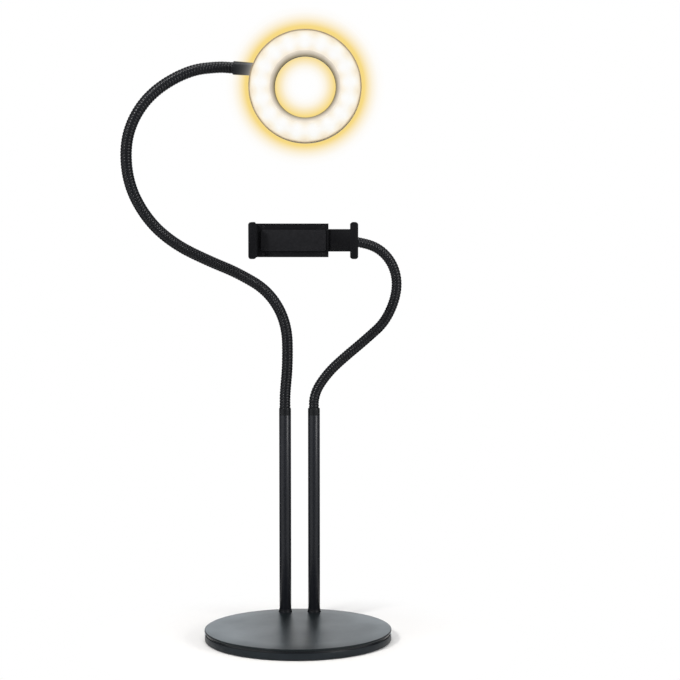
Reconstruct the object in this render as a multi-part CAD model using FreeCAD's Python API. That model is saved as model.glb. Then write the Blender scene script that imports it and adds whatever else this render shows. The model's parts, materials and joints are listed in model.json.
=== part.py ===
"""A desk stand that carries a ring light and a phone clamp, each on its own gooseneck.

Frame: the origin is the centre of the base's underside, +X is right, +Y is to the rear and
+Z is up. The light and the clamp face -Y. Lengths are millimetres, angles are degrees.

Each gooseneck is a coil that bends anywhere along its length. Here it is cut into spans that
meet at stations: one span ends in a ball, the next in a cup that rides round that ball.
"""
import FreeCAD, Part
import math
import os

# ---------------------------------------------------------------- driving dimensions
RUNNING_FIT = 0.05          # radial play of a pin, ball or spigot in its hole
LOOSE_FIT = 0.3             # play between pieces that only lie beside each other
TOUCHING = 1e-6             # points closer than this are one point

# base
BASE_RADIUS = 77.5
PAD_INSET = 2.0             # how far the foot pad's edge lies inside the base's edge
PAD_THICKNESS = 0.6
PAN_INSET = 0.2
PAN_HEIGHT = 5.6
PAN_FLOOR = 1.6
PAN_WALL = 2.6
PAN_CHAMFER = 0.3
REVEAL_INSET = 1.0          # the shadow groove between the pan and the cover
REVEAL_HEIGHT = 1.6
COVER_RIM_HEIGHT = 1.8
COVER_TOP = 1.4
COVER_EDGE_ROUND = 0.6
BASE_SCREW_CIRCLE = 52.0
BASE_SCREW_COUNT = 4
BASE_SCREW_FIRST_ANGLE = 45.0
BASE_SCREW_RADIUS = 1.2
BASE_SCREW_HEAD_RADIUS = 2.5
BASE_SCREW_LENGTH = 5.6
BASE_BOSS_RADIUS = 3.2

# posts
POST_X = 12.4               # each post's distance from the middle plane
POST_INSET = 12.0           # from the base's rear edge to the posts' axes
POST_RADIUS = 5.1
POST_WALL = 0.8
POST_HEIGHT = 170.8
FOOT_RING_RADIUS = 5.8
FOOT_RING_HEIGHT = 2.5
FOOT_RING_EDGE = 0.4        # the upright edge at the trim ring's foot
FOOT_RING_LIP = 0.2         # the trim ring's thickness at its top
INSERT_LENGTH = 12.0
POST_BOLT_RADIUS = 3.0
POST_BOLT_HEAD_RADIUS = 5.0
POST_BOLT_HEAD_HEIGHT = 2.6
POST_BOLT_SOCKET = 4.0      # across the flats of the bolt's hexagon socket
POST_BOLT_SOCKET_DEPTH = 1.4
POST_BOLT_REACH = 9.0       # how far the bolt stands into the post
WASHER_THICKNESS = 0.8
WASHER_RADIUS = 5.2
OUTLET_HEIGHT = 18.5        # the cable outlet's axis above the base's top
OUTLET_BORE = 1.4
GROMMET_NECK_RADIUS = 2.2
GROMMET_FLANGE_RADIUS = 3.1
GROMMET_FLANGE = 1.0

# neck ferrules in the posts' tops
FERRULE_SPIGOT = 12.0
FERRULE_CUP_HEIGHT = 6.0
FERRULE_CUP_FLOOR = 1.5
FERRULE_LIP_ROUND = 0.3
GRUB_RADIUS = 1.5
GRUB_DEPTH = 1.6            # how far the grub screw reaches into the spigot
GRUB_DROP = 6.0             # the grub screw's axis below the post's end

# goosenecks
LIGHT_NECK_RADIUS = 4.55
PHONE_NECK_RADIUS = 4.1
NECK_BORE = 1.6
ARC_REACH_SHARE = 0.45      # of the shorter run beside a corner that its arc takes
STATION_STRAIGHT = 4.7      # straight stretch kept on each side of a station
STATION_GAP = 0.15          # play between a span's ball and the next span's cup
STATION_RIM = 1.8           # where the cup's rim stands, measured from the ball's centre

# Corners of each neck's route, measured from the top of its ferrule. The runs between the
# corners are joined by tangent arcs. A station lies in the middle of each run whose count
# from the post is listed.
LIGHT_ROUTE = [
    (0.0, 0.0, 12.5), (2.5, -3.0, 38.5), (2.0, -8.0, 73.5), (-13.0, -15.5, 101.0),
    (-39.0, -25.5, 117.0), (-60.5, -39.5, 126.5), (-88.0, -53.5, 140.5),
    (-109.5, -65.5, 160.0), (-124.5, -76.5, 189.0), (-126.5, -83.5, 222.0),
    (-117.5, -87.0, 247.0), (-100.5, -85.5, 267.0), (-74.0, -81.0, 282.0),
    (-51.0, -76.5, 285.0),
]
LIGHT_STATION_COUNTS = (1, 5, 9, 12)
LIGHT_LAST_RUN = 19.8
LIGHT_END_SLOPE = 4.0       # the light's sleeve slopes down by this much towards the ring
PHONE_ROUTE = [
    (0.0, 0.0, 8.0), (3.5, -0.3, 18.5), (13.5, -1.5, 32.0), (25.0, -4.5, 43.0),
    (45.5, -8.0, 60.5), (62.0, -11.0, 76.0), (71.5, -13.5, 101.5), (68.5, -15.5, 122.5),
    (55.5, -18.0, 138.0), (35.5, -21.0, 143.5), (11.5, -24.5, 145.2), (-0.3, -33.0, 145.2),
    (-6.9, -46.0, 145.2),
]
PHONE_STATION_COUNTS = (4, 6)
PHONE_LAST_RUN = 14.5

# sleeves and ball studs
SLEEVE_RADIUS = 5.5
SLEEVE_ROUND = 0.5
SLEEVE_INSERT = 8.0         # how far a neck stands in its sleeve
LIGHT_SLEEVE_LENGTH = 15.8
PHONE_SLEEVE_LENGTH = 14.0
STUD_TAIL_RADIUS = 2.4
STUD_TAIL_END_GAP = 1.0
STUD_EXPOSED = 10.0         # from the sleeve's face to the ball's centre
STUD_FLANGE_RADIUS = 3.3
STUD_FLANGE = 1.2
STUD_NECK_RADIUS = 1.9
STUD_GROOVE_RADIUS = 1.95
STUD_GROOVE_WIDTH = 2.6
SET_SCREW_RADIUS = 1.1
SET_SCREW_BACK = 3.2        # the set screw's axis, measured back from the sleeve's face
LIGHT_BALL_RADIUS = 4.2
LIGHT_STUD_BORE = 1.15
PHONE_BALL_RADIUS = 5.0

# lead inside the light's neck
LEAD_RADIUS = 0.9
LEAD_BEND = 3.0
LEAD_HOLE = 1.3

# ring light
RING_RADIUS = 45.0
RING_BAND = 20.6            # from the hole's edge to the outer edge
RING_DEPTH = 18.0
RING_WALL = 1.6
RING_FLOOR = 2.0
RING_REAR_DEPTH = 7.0       # the rear cover's share of the depth
RING_REAR_ROUND = 5.0
RING_HOLE_ROUND = 2.0
RING_HOLE_WALL_DEPTH = 8.5
RING_LIP = 0.8              # width of the thin rim round the diffuser
RING_LIP_CHAMFER = 0.4
BEZEL_LIP_DEPTH = 2.5       # how far the bezel reaches into the rear cover
BEZEL_WALL = 2.6
COVER_SCREW_INSET = 4.3     # from the outer edge to the screws' axes
COVER_SCREW_COUNT = 4
COVER_SCREW_FIRST_ANGLE = 22.0
COVER_SCREW_BOSS_RADIUS = 2.0
COVER_SCREW_BOSS_HEIGHT = 6.5
COVER_SCREW_RADIUS = 0.9
COVER_SCREW_HEAD_RADIUS = 1.7
COVER_SCREW_HEAD = 1.0
COVER_SCREW_LENGTH = 5.0
BEVEL_WIDTH = 3.7           # the sloping band round the hole
BEVEL_RIM = 0.7
BEVEL_LEDGE = 1.2
BEVEL_LEDGE_THICKNESS = 1.0
BEVEL_SPIGOT_WALL = 0.7
BEVEL_SPIGOT_DEPTH = 2.0
DIFFUSER_THICKNESS = 1.4
DIFFUSER_CROWN = 0.5
DIFFUSER_RECESS = 0.5
BOARD_THICKNESS = 1.2
BOARD_HEIGHT = 7.6          # the board's rear face above the ring's back
BOARD_INNER_GAP = 3.2       # from the hole's wall to the board
BOARD_OUTER_GAP = 4.1       # from the bezel's wall to the board
LED_COUNT = 17
LED_INSET = 10.4            # from the outer edge to the LEDs' centres
LED_SIZE = 2.8
LED_HEIGHT = 0.7
REFLECTOR_WALL = 0.8
REFLECTOR_WINDOW = 4.2
REFLECTOR_INNER_GAP = 1.0   # from the board's inner edge to the reflector's
REFLECTOR_INNER_FLARE = 1.8
REFLECTOR_OUTER_FLARE = 3.5
BOARD_SCREW_LED_COUNTS = (1, 7, 12)   # a board screw stands after this many LEDs
BOARD_SCREW_RADIUS = 0.9
BOARD_SCREW_HEAD_RADIUS = 1.7
BOARD_SCREW_HEAD = 1.1
BOARD_SCREW_LENGTH = 6.2
BOARD_BOSS_RADIUS = 2.4
CONNECTOR_SIZE = 3.2
CONNECTOR_HEIGHT = 3.0

# the ring's ball socket
SOCKET_STANDOFF = 11.0      # from the ring's back to the ball's centre
SOCKET_INSET = 9.0          # from the ring's outer edge to the ball's centre
SOCKET_ANGLE = 156.0        # where the ball stands round the ring, seen from the front
SOCKET_RADIUS = 7.6
SOCKET_EAR_RADIUS = 3.3
SOCKET_SCREW_SPACING = 9.6  # from the ball's centre to each screw
SOCKET_CAP_HEIGHT = 6.4
SOCKET_CAP_ROUND = 1.2
SOCKET_MOUTH_ANGLE = 45.0   # half angle of the mouth that the stud swings in
SOCKET_SCREW_RADIUS = 1.1
SOCKET_SCREW_HEAD_RADIUS = 2.1
SOCKET_SCREW_HEAD = 1.6
SOCKET_SCREW_REACH = 5.0

# phone clamp, measured from its ball
CLAMP_STANDOFF = 9.0        # from the ball's centre to the housing's back
CLAMP_DEPTH = 10.0
CLAMP_HALF_HEIGHT = 13.5
CLAMP_BACK_WALL = 2.0
CLAMP_LEFT_WALL = 4.2
CLAMP_RIGHT_END = 20.0
CLAMP_ROUND = 0.8
CLAMP_OPENING = 74.8        # between the pads, at rest
JAW_THICKNESS = 6.4
JAW_HALF_HEIGHT = 14.7
JAW_REACH = 23.0            # from the housing's back to the jaw's front
JAW_HOOK = 2.4
JAW_ROUND = 2.2
JAW_PAD = 1.8
JAW_PAD_MARGIN = 1.2
JAW_PAD_RIB_COUNT = 5
JAW_PAD_RIB_DEPTH = 0.5
CLAMP_COVER = 1.8
CLAMP_COVER_INSET = 1.4     # the cover's left edge, measured into the left wall
CLAMP_SCREW_RADIUS = 0.9
CLAMP_SCREW_HEAD_RADIUS = 1.4
CLAMP_SCREW_HEAD = 0.9
CLAMP_SCREW_LENGTH = 4.5
CLAMP_SCREW_INSET = 4.0
FACE_PAD = 1.5
FACE_PAD_HALF_HEIGHT = 8.6
FACE_PAD_MARGIN = 2.0
TONGUE_HALF_HEIGHT = 9.0
TONGUE_LEFT_END = 14.0      # the tongue's free end, left of the ball at rest
TONGUE_SLOT_END = 10.0      # the spring slots' closed end, right of the ball at rest
SPRING_RADIUS = 2.0
SPRING_Z = 4.6
SPRING_SLOT_PLAY = 0.4
SPRING_PIN_RADIUS = 1.0
CLAMP_BOSS_RADIUS = 8.0
NUT_RADIUS = 11.0
NUT_SKIRT = 7.5             # how far the nut reaches towards the housing from the ball
NUT_TOP = 5.6
NUT_CHAMFER = 0.8
NUT_SHOULDER = 2.8
NUT_MOUTH_ANGLE = 46.0
NUT_GROOVE_COUNT = 16
NUT_GROOVE_RADIUS = 1.1

# ---------------------------------------------------------------- worked-out places
Vector = FreeCAD.Vector
RIGHT = Vector(1, 0, 0)
REAR = Vector(0, 1, 0)
UP = Vector(0, 0, 1)
FRONT = Vector(0, -1, 0)
DOWN = Vector(0, 0, -1)

PAN_TOP = PAD_THICKNESS + PAN_HEIGHT
REVEAL_TOP = PAN_TOP + REVEAL_HEIGHT
BASE_TOP = REVEAL_TOP + COVER_RIM_HEIGHT
PAN_RADIUS = BASE_RADIUS - PAN_INSET
PAN_BORE = PAN_RADIUS - PAN_WALL
PAN_FLOOR_TOP = PAD_THICKNESS + PAN_FLOOR
COVER_UNDERSIDE = BASE_TOP - COVER_TOP
POST_BORE = POST_RADIUS - POST_WALL
POST_TOP = BASE_TOP + POST_HEIGHT
FERRULE_TOP = POST_TOP + FERRULE_CUP_HEIGHT
POST_Y = BASE_RADIUS - POST_INSET
LIGHT_POST = Vector(-POST_X, POST_Y, 0)
PHONE_POST = Vector(POST_X, POST_Y, 0)
OUTLET_Z = BASE_TOP + OUTLET_HEIGHT
LIGHT_END = Vector(math.cos(math.radians(LIGHT_END_SLOPE)), 0,
                   -math.sin(math.radians(LIGHT_END_SLOPE)))
PHONE_END = FRONT


# ---------------------------------------------------------------- shape helpers
def polar(radius, angle):
    """A point on a circle in the XY plane."""
    return Vector(radius * math.cos(math.radians(angle)), radius * math.sin(math.radians(angle)), 0)


def placed(shape, origin, direction):
    """The shape moved so that its own +Z axis starts at origin and points along direction."""
    turn = FreeCAD.Rotation(UP, direction)
    moved = shape.copy()
    moved.Placement = FreeCAD.Placement(origin, turn).multiply(moved.Placement)
    return moved


def straight(here, there):
    """The straight edge between two points, or none where they are one point."""
    if here.distanceToPoint(there) < TOUCHING:
        return []
    return [Part.makeLine(here, there)]


def outline(steps):
    """A closed face in the XZ plane. A step is a point, or (middle, end) for an arc."""
    first = Vector(steps[0][0], 0, steps[0][1])
    here = first
    edges = []
    for step in steps[1:]:
        if isinstance(step[0], tuple):
            middle = Vector(step[0][0], 0, step[0][1])
            there = Vector(step[1][0], 0, step[1][1])
            edges.append(Part.Arc(here, middle, there).toShape())
        else:
            there = Vector(step[0], 0, step[1])
            edges += straight(here, there)
        here = there
    edges += straight(here, first)
    return Part.Face(Part.Wire(edges))


def bend(centre, radius, start, end):
    """An arc step for outline: round centre, from one angle to another in the XZ plane."""
    points = []
    for angle in ((start + end) / 2, end):
        spot = polar(radius, angle)
        points.append((centre[0] + spot.x, centre[1] + spot.y))
    return (points[0], points[1])


def turned(steps):
    """A solid of revolution about Z from an outline of (radius, height) steps."""
    return outline(steps).revolve(Vector(), UP, 360)


def rod(radius, start, end):
    """A round bar between two points."""
    span = end - start
    return Part.makeCylinder(radius, span.Length, start, span)


def ring(outer, inner, start, end):
    """A round tube between two points."""
    return rod(outer, start, end).cut(rod(inner, start, end))


def block(low, high):
    """A box between two opposite corners."""
    size = high - low
    return Part.makeBox(size.x, size.y, size.z, low)


def rounded_block(low, high, radius, axis):
    """A box whose four edges along one axis are rounded."""
    shape = block(low, high)
    edges = [edge for edge in shape.Edges if abs(edge.tangentAt(0).dot(axis)) > 0.9]
    return shape.makeFillet(radius, edges)


def around(centre, circle, count, first):
    """Points spaced evenly on a level circle."""
    return [centre + polar(circle, first + 360.0 * i / count) for i in range(count)]


# ---------------------------------------------------------------- gooseneck routes
def neck_corners(post, route, direction, last_run):
    """All the points of a neck's route, from the floor of its ferrule's cup to its end."""
    top = post + UP * FERRULE_TOP
    start = post + UP * (POST_TOP + FERRULE_CUP_FLOOR)
    corners = [top + Vector(*offset) for offset in route]
    return [start] + corners + [corners[-1] + direction * last_run]


def arc_reaches(corners, station_runs):
    """How far each corner's arc reaches along its runs: a share of the shorter run, and less
    where a station needs its straight stretch. The two ends have none."""
    runs = [(b - a).Length for a, b in zip(corners, corners[1:])]
    room = [ARC_REACH_SHARE * run for run in runs]
    for index in station_runs:
        room[index] = min(room[index], runs[index] / 2 - STATION_STRAIGHT)
    return [0.0] + [min(a, b) for a, b in zip(room, room[1:])] + [0.0]


def station(corners, run):
    """A station's centre and direction, in the middle of a run."""
    direction = (corners[run + 1] - corners[run]).normalize()
    return (corners[run] + corners[run + 1]) / 2, direction


def path_edges(corners, reaches):
    """Straight runs joined by tangent arcs, and the arcs' radii."""
    edges = []
    radii = []
    here = corners[0]
    for before, corner, after, reach in zip(corners, corners[1:], corners[2:], reaches[1:]):
        back = (before - corner).normalize()
        ahead = (after - corner).normalize()
        half_turn = (math.pi - back.getAngle(ahead)) / 2
        radius = reach / math.tan(half_turn)
        inward = (back + ahead).normalize()
        middle = corner + inward * (radius / math.cos(half_turn) - radius)
        start = corner + back * reach
        end = corner + ahead * reach
        edges += straight(here, start)
        edges.append(Part.Arc(start, middle, end).toShape())
        radii.append(radius)
        here = end
    edges += straight(here, corners[-1])
    return edges, radii


def swept(edges, radius):
    """A round bar along a path."""
    wire = Part.Wire(edges)
    start = edges[0].valueAt(edges[0].FirstParameter)
    along = edges[0].tangentAt(edges[0].FirstParameter)
    circle = Part.Wire(Part.makeCircle(radius, start, along))
    return wire.makePipeShell([circle], True, False)


def report_path(name, edges, radii, solid, section):
    """Print the arcs' radii, and the solid's volume over its section times its length."""
    length = sum(edge.Length for edge in edges)
    listed = " ".join("%.0f" % radius for radius in radii)
    print("%s: length %.1f, radii %s, volume ratio %.4f"
          % (name, length, listed, solid.Volume / (section * length)))


def ball_end(radius):
    """The ball that closes a span, about +Z from the station's centre."""
    tip = math.sqrt(radius ** 2 - NECK_BORE ** 2)
    tip_angle = math.degrees(math.atan2(tip, NECK_BORE))
    return turned([(NECK_BORE, 0), (radius, 0), bend((0, 0), radius, 0, tip_angle)])


def cup_start(radius):
    """The cup that opens a span, about +Z from the station's centre."""
    reach = radius + STATION_GAP
    rim_angle = math.degrees(math.asin(STATION_RIM / reach))
    floor_angle = math.degrees(math.acos(NECK_BORE / reach))
    floor = reach * math.sin(math.radians(floor_angle))
    return turned([(NECK_BORE, floor), (NECK_BORE, STATION_STRAIGHT),
                   (radius, STATION_STRAIGHT), (radius, STATION_RIM),
                   (reach * math.cos(math.radians(rim_angle)), STATION_RIM),
                   bend((0, 0), reach, rim_angle, floor_angle)])


def neck_spans(name, corners, station_runs, radius):
    """The spans of a gooseneck, from the post to its end, as NAME_1, NAME_2 and so on."""
    reaches = arc_reaches(corners, station_runs)
    section = math.pi * (radius ** 2 - NECK_BORE ** 2)
    spans = {}
    starts = [None] + list(station_runs)
    ends = list(station_runs) + [None]
    for number, (opening, closing) in enumerate(zip(starts, ends), 1):
        first = 0 if opening is None else opening + 1
        last = len(corners) - 1 if closing is None else closing
        points = corners[first:last + 1]
        reach = reaches[first:last + 1]
        extra = []
        if opening is not None:
            centre, direction = station(corners, opening)
            points = [centre + direction * STATION_STRAIGHT] + points
            reach = [0.0] + reach
            extra.append(placed(cup_start(radius), centre, direction))
        if closing is not None:
            centre, direction = station(corners, closing)
            points = points + [centre]
            reach = reach + [0.0]
            extra.append(placed(ball_end(radius), centre, direction))
        edges, radii = path_edges(points, reach)
        tube = swept(edges, radius).cut(swept(edges, NECK_BORE))
        node = "%s_%d" % (name, number)
        report_path(node, edges, radii, tube, section)
        spans[node] = tube.fuse(extra) if extra else tube
    return spans


LIGHT_CORNERS = neck_corners(LIGHT_POST, LIGHT_ROUTE, LIGHT_END, LIGHT_LAST_RUN)
PHONE_CORNERS = neck_corners(PHONE_POST, PHONE_ROUTE, PHONE_END, PHONE_LAST_RUN)
LIGHT_FACE = LIGHT_CORNERS[-1] + LIGHT_END * (LIGHT_SLEEVE_LENGTH - SLEEVE_INSERT)
PHONE_FACE = PHONE_CORNERS[-1] + PHONE_END * (PHONE_SLEEVE_LENGTH - SLEEVE_INSERT)
LIGHT_BALL = LIGHT_FACE + LIGHT_END * STUD_EXPOSED
PHONE_BALL = PHONE_FACE + PHONE_END * STUD_EXPOSED
SOCKET_SPOT = polar(RING_RADIUS - SOCKET_INSET, SOCKET_ANGLE)
RING_BACK = LIGHT_BALL + FRONT * SOCKET_STANDOFF - RIGHT * SOCKET_SPOT.x - UP * SOCKET_SPOT.y
CLAMP_BACK = PHONE_BALL + FRONT * CLAMP_STANDOFF


# ---------------------------------------------------------------- base
def foot_pad():
    return rod(BASE_RADIUS - PAD_INSET, Vector(), UP * PAD_THICKNESS)


def base_pan():
    """The lower tray: a floor, a wall and the inset band that makes the shadow groove."""
    groove = BASE_RADIUS - REVEAL_INSET
    pan = turned([(0, PAD_THICKNESS), (PAN_RADIUS - PAN_CHAMFER, PAD_THICKNESS),
                  (PAN_RADIUS, PAD_THICKNESS + PAN_CHAMFER), (PAN_RADIUS, PAN_TOP),
                  (groove, PAN_TOP), (groove, REVEAL_TOP), (PAN_BORE, REVEAL_TOP),
                  (PAN_BORE, PAN_FLOOR_TOP), (0, PAN_FLOOR_TOP)])
    sink = turned([(0, 0), (BASE_SCREW_HEAD_RADIUS + RUNNING_FIT, 0),
                   (BASE_SCREW_RADIUS + RUNNING_FIT, PAN_FLOOR),
                   (0, PAN_FLOOR)])
    for spot in base_screw_spots():
        pan = pan.cut(placed(sink, spot + UP * PAD_THICKNESS, UP))
    return pan


def base_screw_spots():
    return around(Vector(), BASE_SCREW_CIRCLE, BASE_SCREW_COUNT, BASE_SCREW_FIRST_ANGLE)


def base_screws():
    """Countersunk screws that hold the pan to the cover's bosses."""
    start = PAD_THICKNESS
    screw = turned([(0, start), (BASE_SCREW_HEAD_RADIUS, start),
                    (BASE_SCREW_RADIUS, start + PAN_FLOOR),
                    (BASE_SCREW_RADIUS, start + BASE_SCREW_LENGTH),
                    (0, start + BASE_SCREW_LENGTH)])
    return Part.makeCompound([placed(screw, spot, UP) for spot in base_screw_spots()])


def base_cover():
    """The top disc with its rounded edge, its screw bosses and the posts' holes."""
    edge = BASE_RADIUS - COVER_EDGE_ROUND
    cover = turned([(0, COVER_UNDERSIDE), (PAN_BORE, COVER_UNDERSIDE), (PAN_BORE, REVEAL_TOP),
                    (edge, REVEAL_TOP),
                    bend((edge, REVEAL_TOP + COVER_EDGE_ROUND), COVER_EDGE_ROUND, -90, 0),
                    (BASE_RADIUS, BASE_TOP - COVER_EDGE_ROUND),
                    bend((edge, BASE_TOP - COVER_EDGE_ROUND), COVER_EDGE_ROUND, 0, 90),
                    (0, BASE_TOP)])
    for spot in base_screw_spots():
        boss = rod(BASE_BOSS_RADIUS, spot + UP * PAN_FLOOR_TOP, spot + UP * COVER_UNDERSIDE)
        hole = rod(BASE_SCREW_RADIUS + RUNNING_FIT, spot + UP * PAN_FLOOR_TOP,
                   spot + UP * (PAD_THICKNESS + BASE_SCREW_LENGTH + LOOSE_FIT))
        cover = cover.fuse(boss).cut(hole)
    for post in (LIGHT_POST, PHONE_POST):
        cover = cover.cut(rod(POST_BOLT_RADIUS + LOOSE_FIT, post, post + UP * BASE_TOP))
    return cover


def post_shoulder():
    """The height in the weight that the posts' washers bear against."""
    return PAN_FLOOR_TOP + LOOSE_FIT + POST_BOLT_HEAD_HEIGHT + WASHER_THICKNESS


def base_weight():
    """The steel disc that keeps the stand from tipping."""
    top = COVER_UNDERSIDE - RUNNING_FIT
    weight = rod(PAN_BORE - LOOSE_FIT, UP * PAN_FLOOR_TOP, UP * top)
    for spot in base_screw_spots():
        weight = weight.cut(rod(BASE_BOSS_RADIUS + LOOSE_FIT, spot, spot + UP * BASE_TOP))
    for post in (LIGHT_POST, PHONE_POST):
        pocket = rod(WASHER_RADIUS + LOOSE_FIT, post, post + UP * post_shoulder())
        weight = weight.cut(pocket)
        weight = weight.cut(rod(POST_BOLT_RADIUS + LOOSE_FIT, post, post + UP * BASE_TOP))
    return weight


def post_washers():
    shoulder = UP * post_shoulder()
    thick = UP * WASHER_THICKNESS
    washers = [ring(WASHER_RADIUS, POST_BOLT_RADIUS + LOOSE_FIT, post + shoulder - thick,
                    post + shoulder) for post in (LIGHT_POST, PHONE_POST)]
    return Part.makeCompound(washers)


def post_bolts():
    """Bolts from below, one up into each post's insert."""
    under_head = post_shoulder() - WASHER_THICKNESS
    head = under_head - POST_BOLT_HEAD_HEIGHT
    bolt = rod(POST_BOLT_HEAD_RADIUS, UP * head, UP * under_head)
    bolt = bolt.fuse(rod(POST_BOLT_RADIUS, UP * under_head, UP * (BASE_TOP + POST_BOLT_REACH)))
    corner = POST_BOLT_SOCKET / 2 / math.cos(math.radians(30))
    corners = [polar(corner, 60 * i) + UP * head for i in range(6)]
    socket = Part.Face(Part.makePolygon(corners + corners[:1]))
    bolt = bolt.cut(socket.extrude(UP * POST_BOLT_SOCKET_DEPTH))
    return Part.makeCompound([placed(bolt, post, UP) for post in (LIGHT_POST, PHONE_POST)])


# ---------------------------------------------------------------- posts
def post(spot):
    """A steel tube with a hole at the rear for its grub screw."""
    tube = ring(POST_RADIUS, POST_BORE, spot + UP * BASE_TOP, spot + UP * POST_TOP)
    grub = spot + UP * (POST_TOP - GRUB_DROP)
    return tube.cut(rod(GRUB_RADIUS + RUNNING_FIT, grub, grub + REAR * 2 * POST_RADIUS))


def light_post():
    """The light's post has the cable outlet near its foot."""
    outlet = LIGHT_POST + UP * OUTLET_Z
    hole = rod(GROMMET_NECK_RADIUS, outlet, outlet + REAR * 2 * POST_RADIUS)
    return post(LIGHT_POST).cut(hole)


def phone_post():
    return post(PHONE_POST)


def post_inserts():
    """Threaded plugs pressed into the posts' lower ends."""
    plugs = []
    for spot in (LIGHT_POST, PHONE_POST):
        plugs.append(ring(POST_BORE - RUNNING_FIT, POST_BOLT_RADIUS + RUNNING_FIT,
                          spot + UP * BASE_TOP, spot + UP * (BASE_TOP + INSERT_LENGTH)))
    return Part.makeCompound(plugs)


def post_foot_rings():
    """Trim rings that flare out where the posts meet the base."""
    inner = POST_RADIUS + RUNNING_FIT
    lip = inner + FOOT_RING_LIP
    low = BASE_TOP + FOOT_RING_EDGE
    high = BASE_TOP + FOOT_RING_HEIGHT
    hollow = (lip + (FOOT_RING_RADIUS - lip) / 4, low + (high - low) / 3)
    trim = turned([(inner, BASE_TOP), (FOOT_RING_RADIUS, BASE_TOP), (FOOT_RING_RADIUS, low),
                   (hollow, (lip, high)), (inner, high)])
    return Part.makeCompound([placed(trim, spot, UP) for spot in (LIGHT_POST, PHONE_POST)])


def neck_ferrule(spot, neck):
    """The turned plug in a post's top, with the cup that the neck stands in."""
    spigot = POST_BORE - RUNNING_FIT
    cup = neck + RUNNING_FIT
    floor = POST_TOP + FERRULE_CUP_FLOOR
    lip = POST_RADIUS - FERRULE_LIP_ROUND
    shape = turned([(NECK_BORE, POST_TOP - FERRULE_SPIGOT), (spigot, POST_TOP - FERRULE_SPIGOT),
                    (spigot, POST_TOP), (POST_RADIUS, POST_TOP),
                    (POST_RADIUS, FERRULE_TOP - FERRULE_LIP_ROUND),
                    bend((lip, FERRULE_TOP - FERRULE_LIP_ROUND), FERRULE_LIP_ROUND, 0, 90),
                    (cup, FERRULE_TOP), (cup, floor), (NECK_BORE, floor)])
    shape = placed(shape, spot, UP)
    grub = spot + UP * (POST_TOP - GRUB_DROP)
    pit = rod(GRUB_RADIUS + RUNNING_FIT, grub + REAR * (spigot - GRUB_DEPTH),
              grub + REAR * 2 * POST_RADIUS)
    return shape.cut(pit)


def light_neck_ferrule():
    return neck_ferrule(LIGHT_POST, LIGHT_NECK_RADIUS)


def phone_neck_ferrule():
    return neck_ferrule(PHONE_POST, PHONE_NECK_RADIUS)


def post_grub_screws():
    """Grub screws through the posts' rear walls into the ferrules' spigots."""
    inner = POST_BORE - GRUB_DEPTH
    outer = math.sqrt(POST_RADIUS ** 2 - GRUB_RADIUS ** 2) - RUNNING_FIT
    screws = []
    for spot in (LIGHT_POST, PHONE_POST):
        axis = spot + UP * (POST_TOP - GRUB_DROP)
        screws.append(rod(GRUB_RADIUS, axis + REAR * inner, axis + REAR * outer))
    return Part.makeCompound(screws)


def cable_grommet():
    """The rubber bush in the light post's rear wall that the supply cable leaves through."""
    neck = GROMMET_NECK_RADIUS - RUNNING_FIT
    inner = POST_BORE - GROMMET_FLANGE
    outer = POST_RADIUS + GROMMET_FLANGE
    bush = turned([(OUTLET_BORE, inner), (neck, inner), (neck, POST_RADIUS + RUNNING_FIT),
                   (GROMMET_FLANGE_RADIUS, POST_RADIUS + RUNNING_FIT),
                   (GROMMET_FLANGE_RADIUS, POST_RADIUS + GROMMET_FLANGE / 2),
                   (GROMMET_FLANGE_RADIUS - GROMMET_FLANGE / 2, outer),
                   (OUTLET_BORE, outer)])
    return placed(bush, LIGHT_POST + UP * OUTLET_Z, REAR)


# ---------------------------------------------------------------- sleeves and studs
def sleeve(face, direction, length, neck):
    """The end ferrule of a neck: a cup for the neck, then a bore that the stud turns in.
    It is drawn about +Z with its face at height 0 and the neck's end below it."""
    edge = SLEEVE_RADIUS - SLEEVE_ROUND
    cup = neck + RUNNING_FIT
    bore = STUD_TAIL_RADIUS + RUNNING_FIT
    floor = SLEEVE_INSERT - length
    shape = turned([(bore, 0), (edge, 0),
                    bend((edge, -SLEEVE_ROUND), SLEEVE_ROUND, 90, 0),
                    (SLEEVE_RADIUS, SLEEVE_ROUND - length),
                    bend((edge, SLEEVE_ROUND - length), SLEEVE_ROUND, 0, -90),
                    (cup, -length), (cup, floor), (bore, floor)])
    hole = rod(SET_SCREW_RADIUS + RUNNING_FIT, DOWN * SET_SCREW_BACK,
               DOWN * SET_SCREW_BACK + REAR * 2 * SLEEVE_RADIUS)
    return placed(shape.cut(hole), face, direction)


def set_screw(face, direction):
    """The screw whose tip rides in the stud's groove, so that the stud turns but stays in."""
    outer = math.sqrt(SLEEVE_RADIUS ** 2 - SET_SCREW_RADIUS ** 2) - RUNNING_FIT
    axis = DOWN * SET_SCREW_BACK
    tip = STUD_GROOVE_RADIUS + RUNNING_FIT
    return placed(rod(SET_SCREW_RADIUS, axis + REAR * tip, axis + REAR * outer), face, direction)


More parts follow.
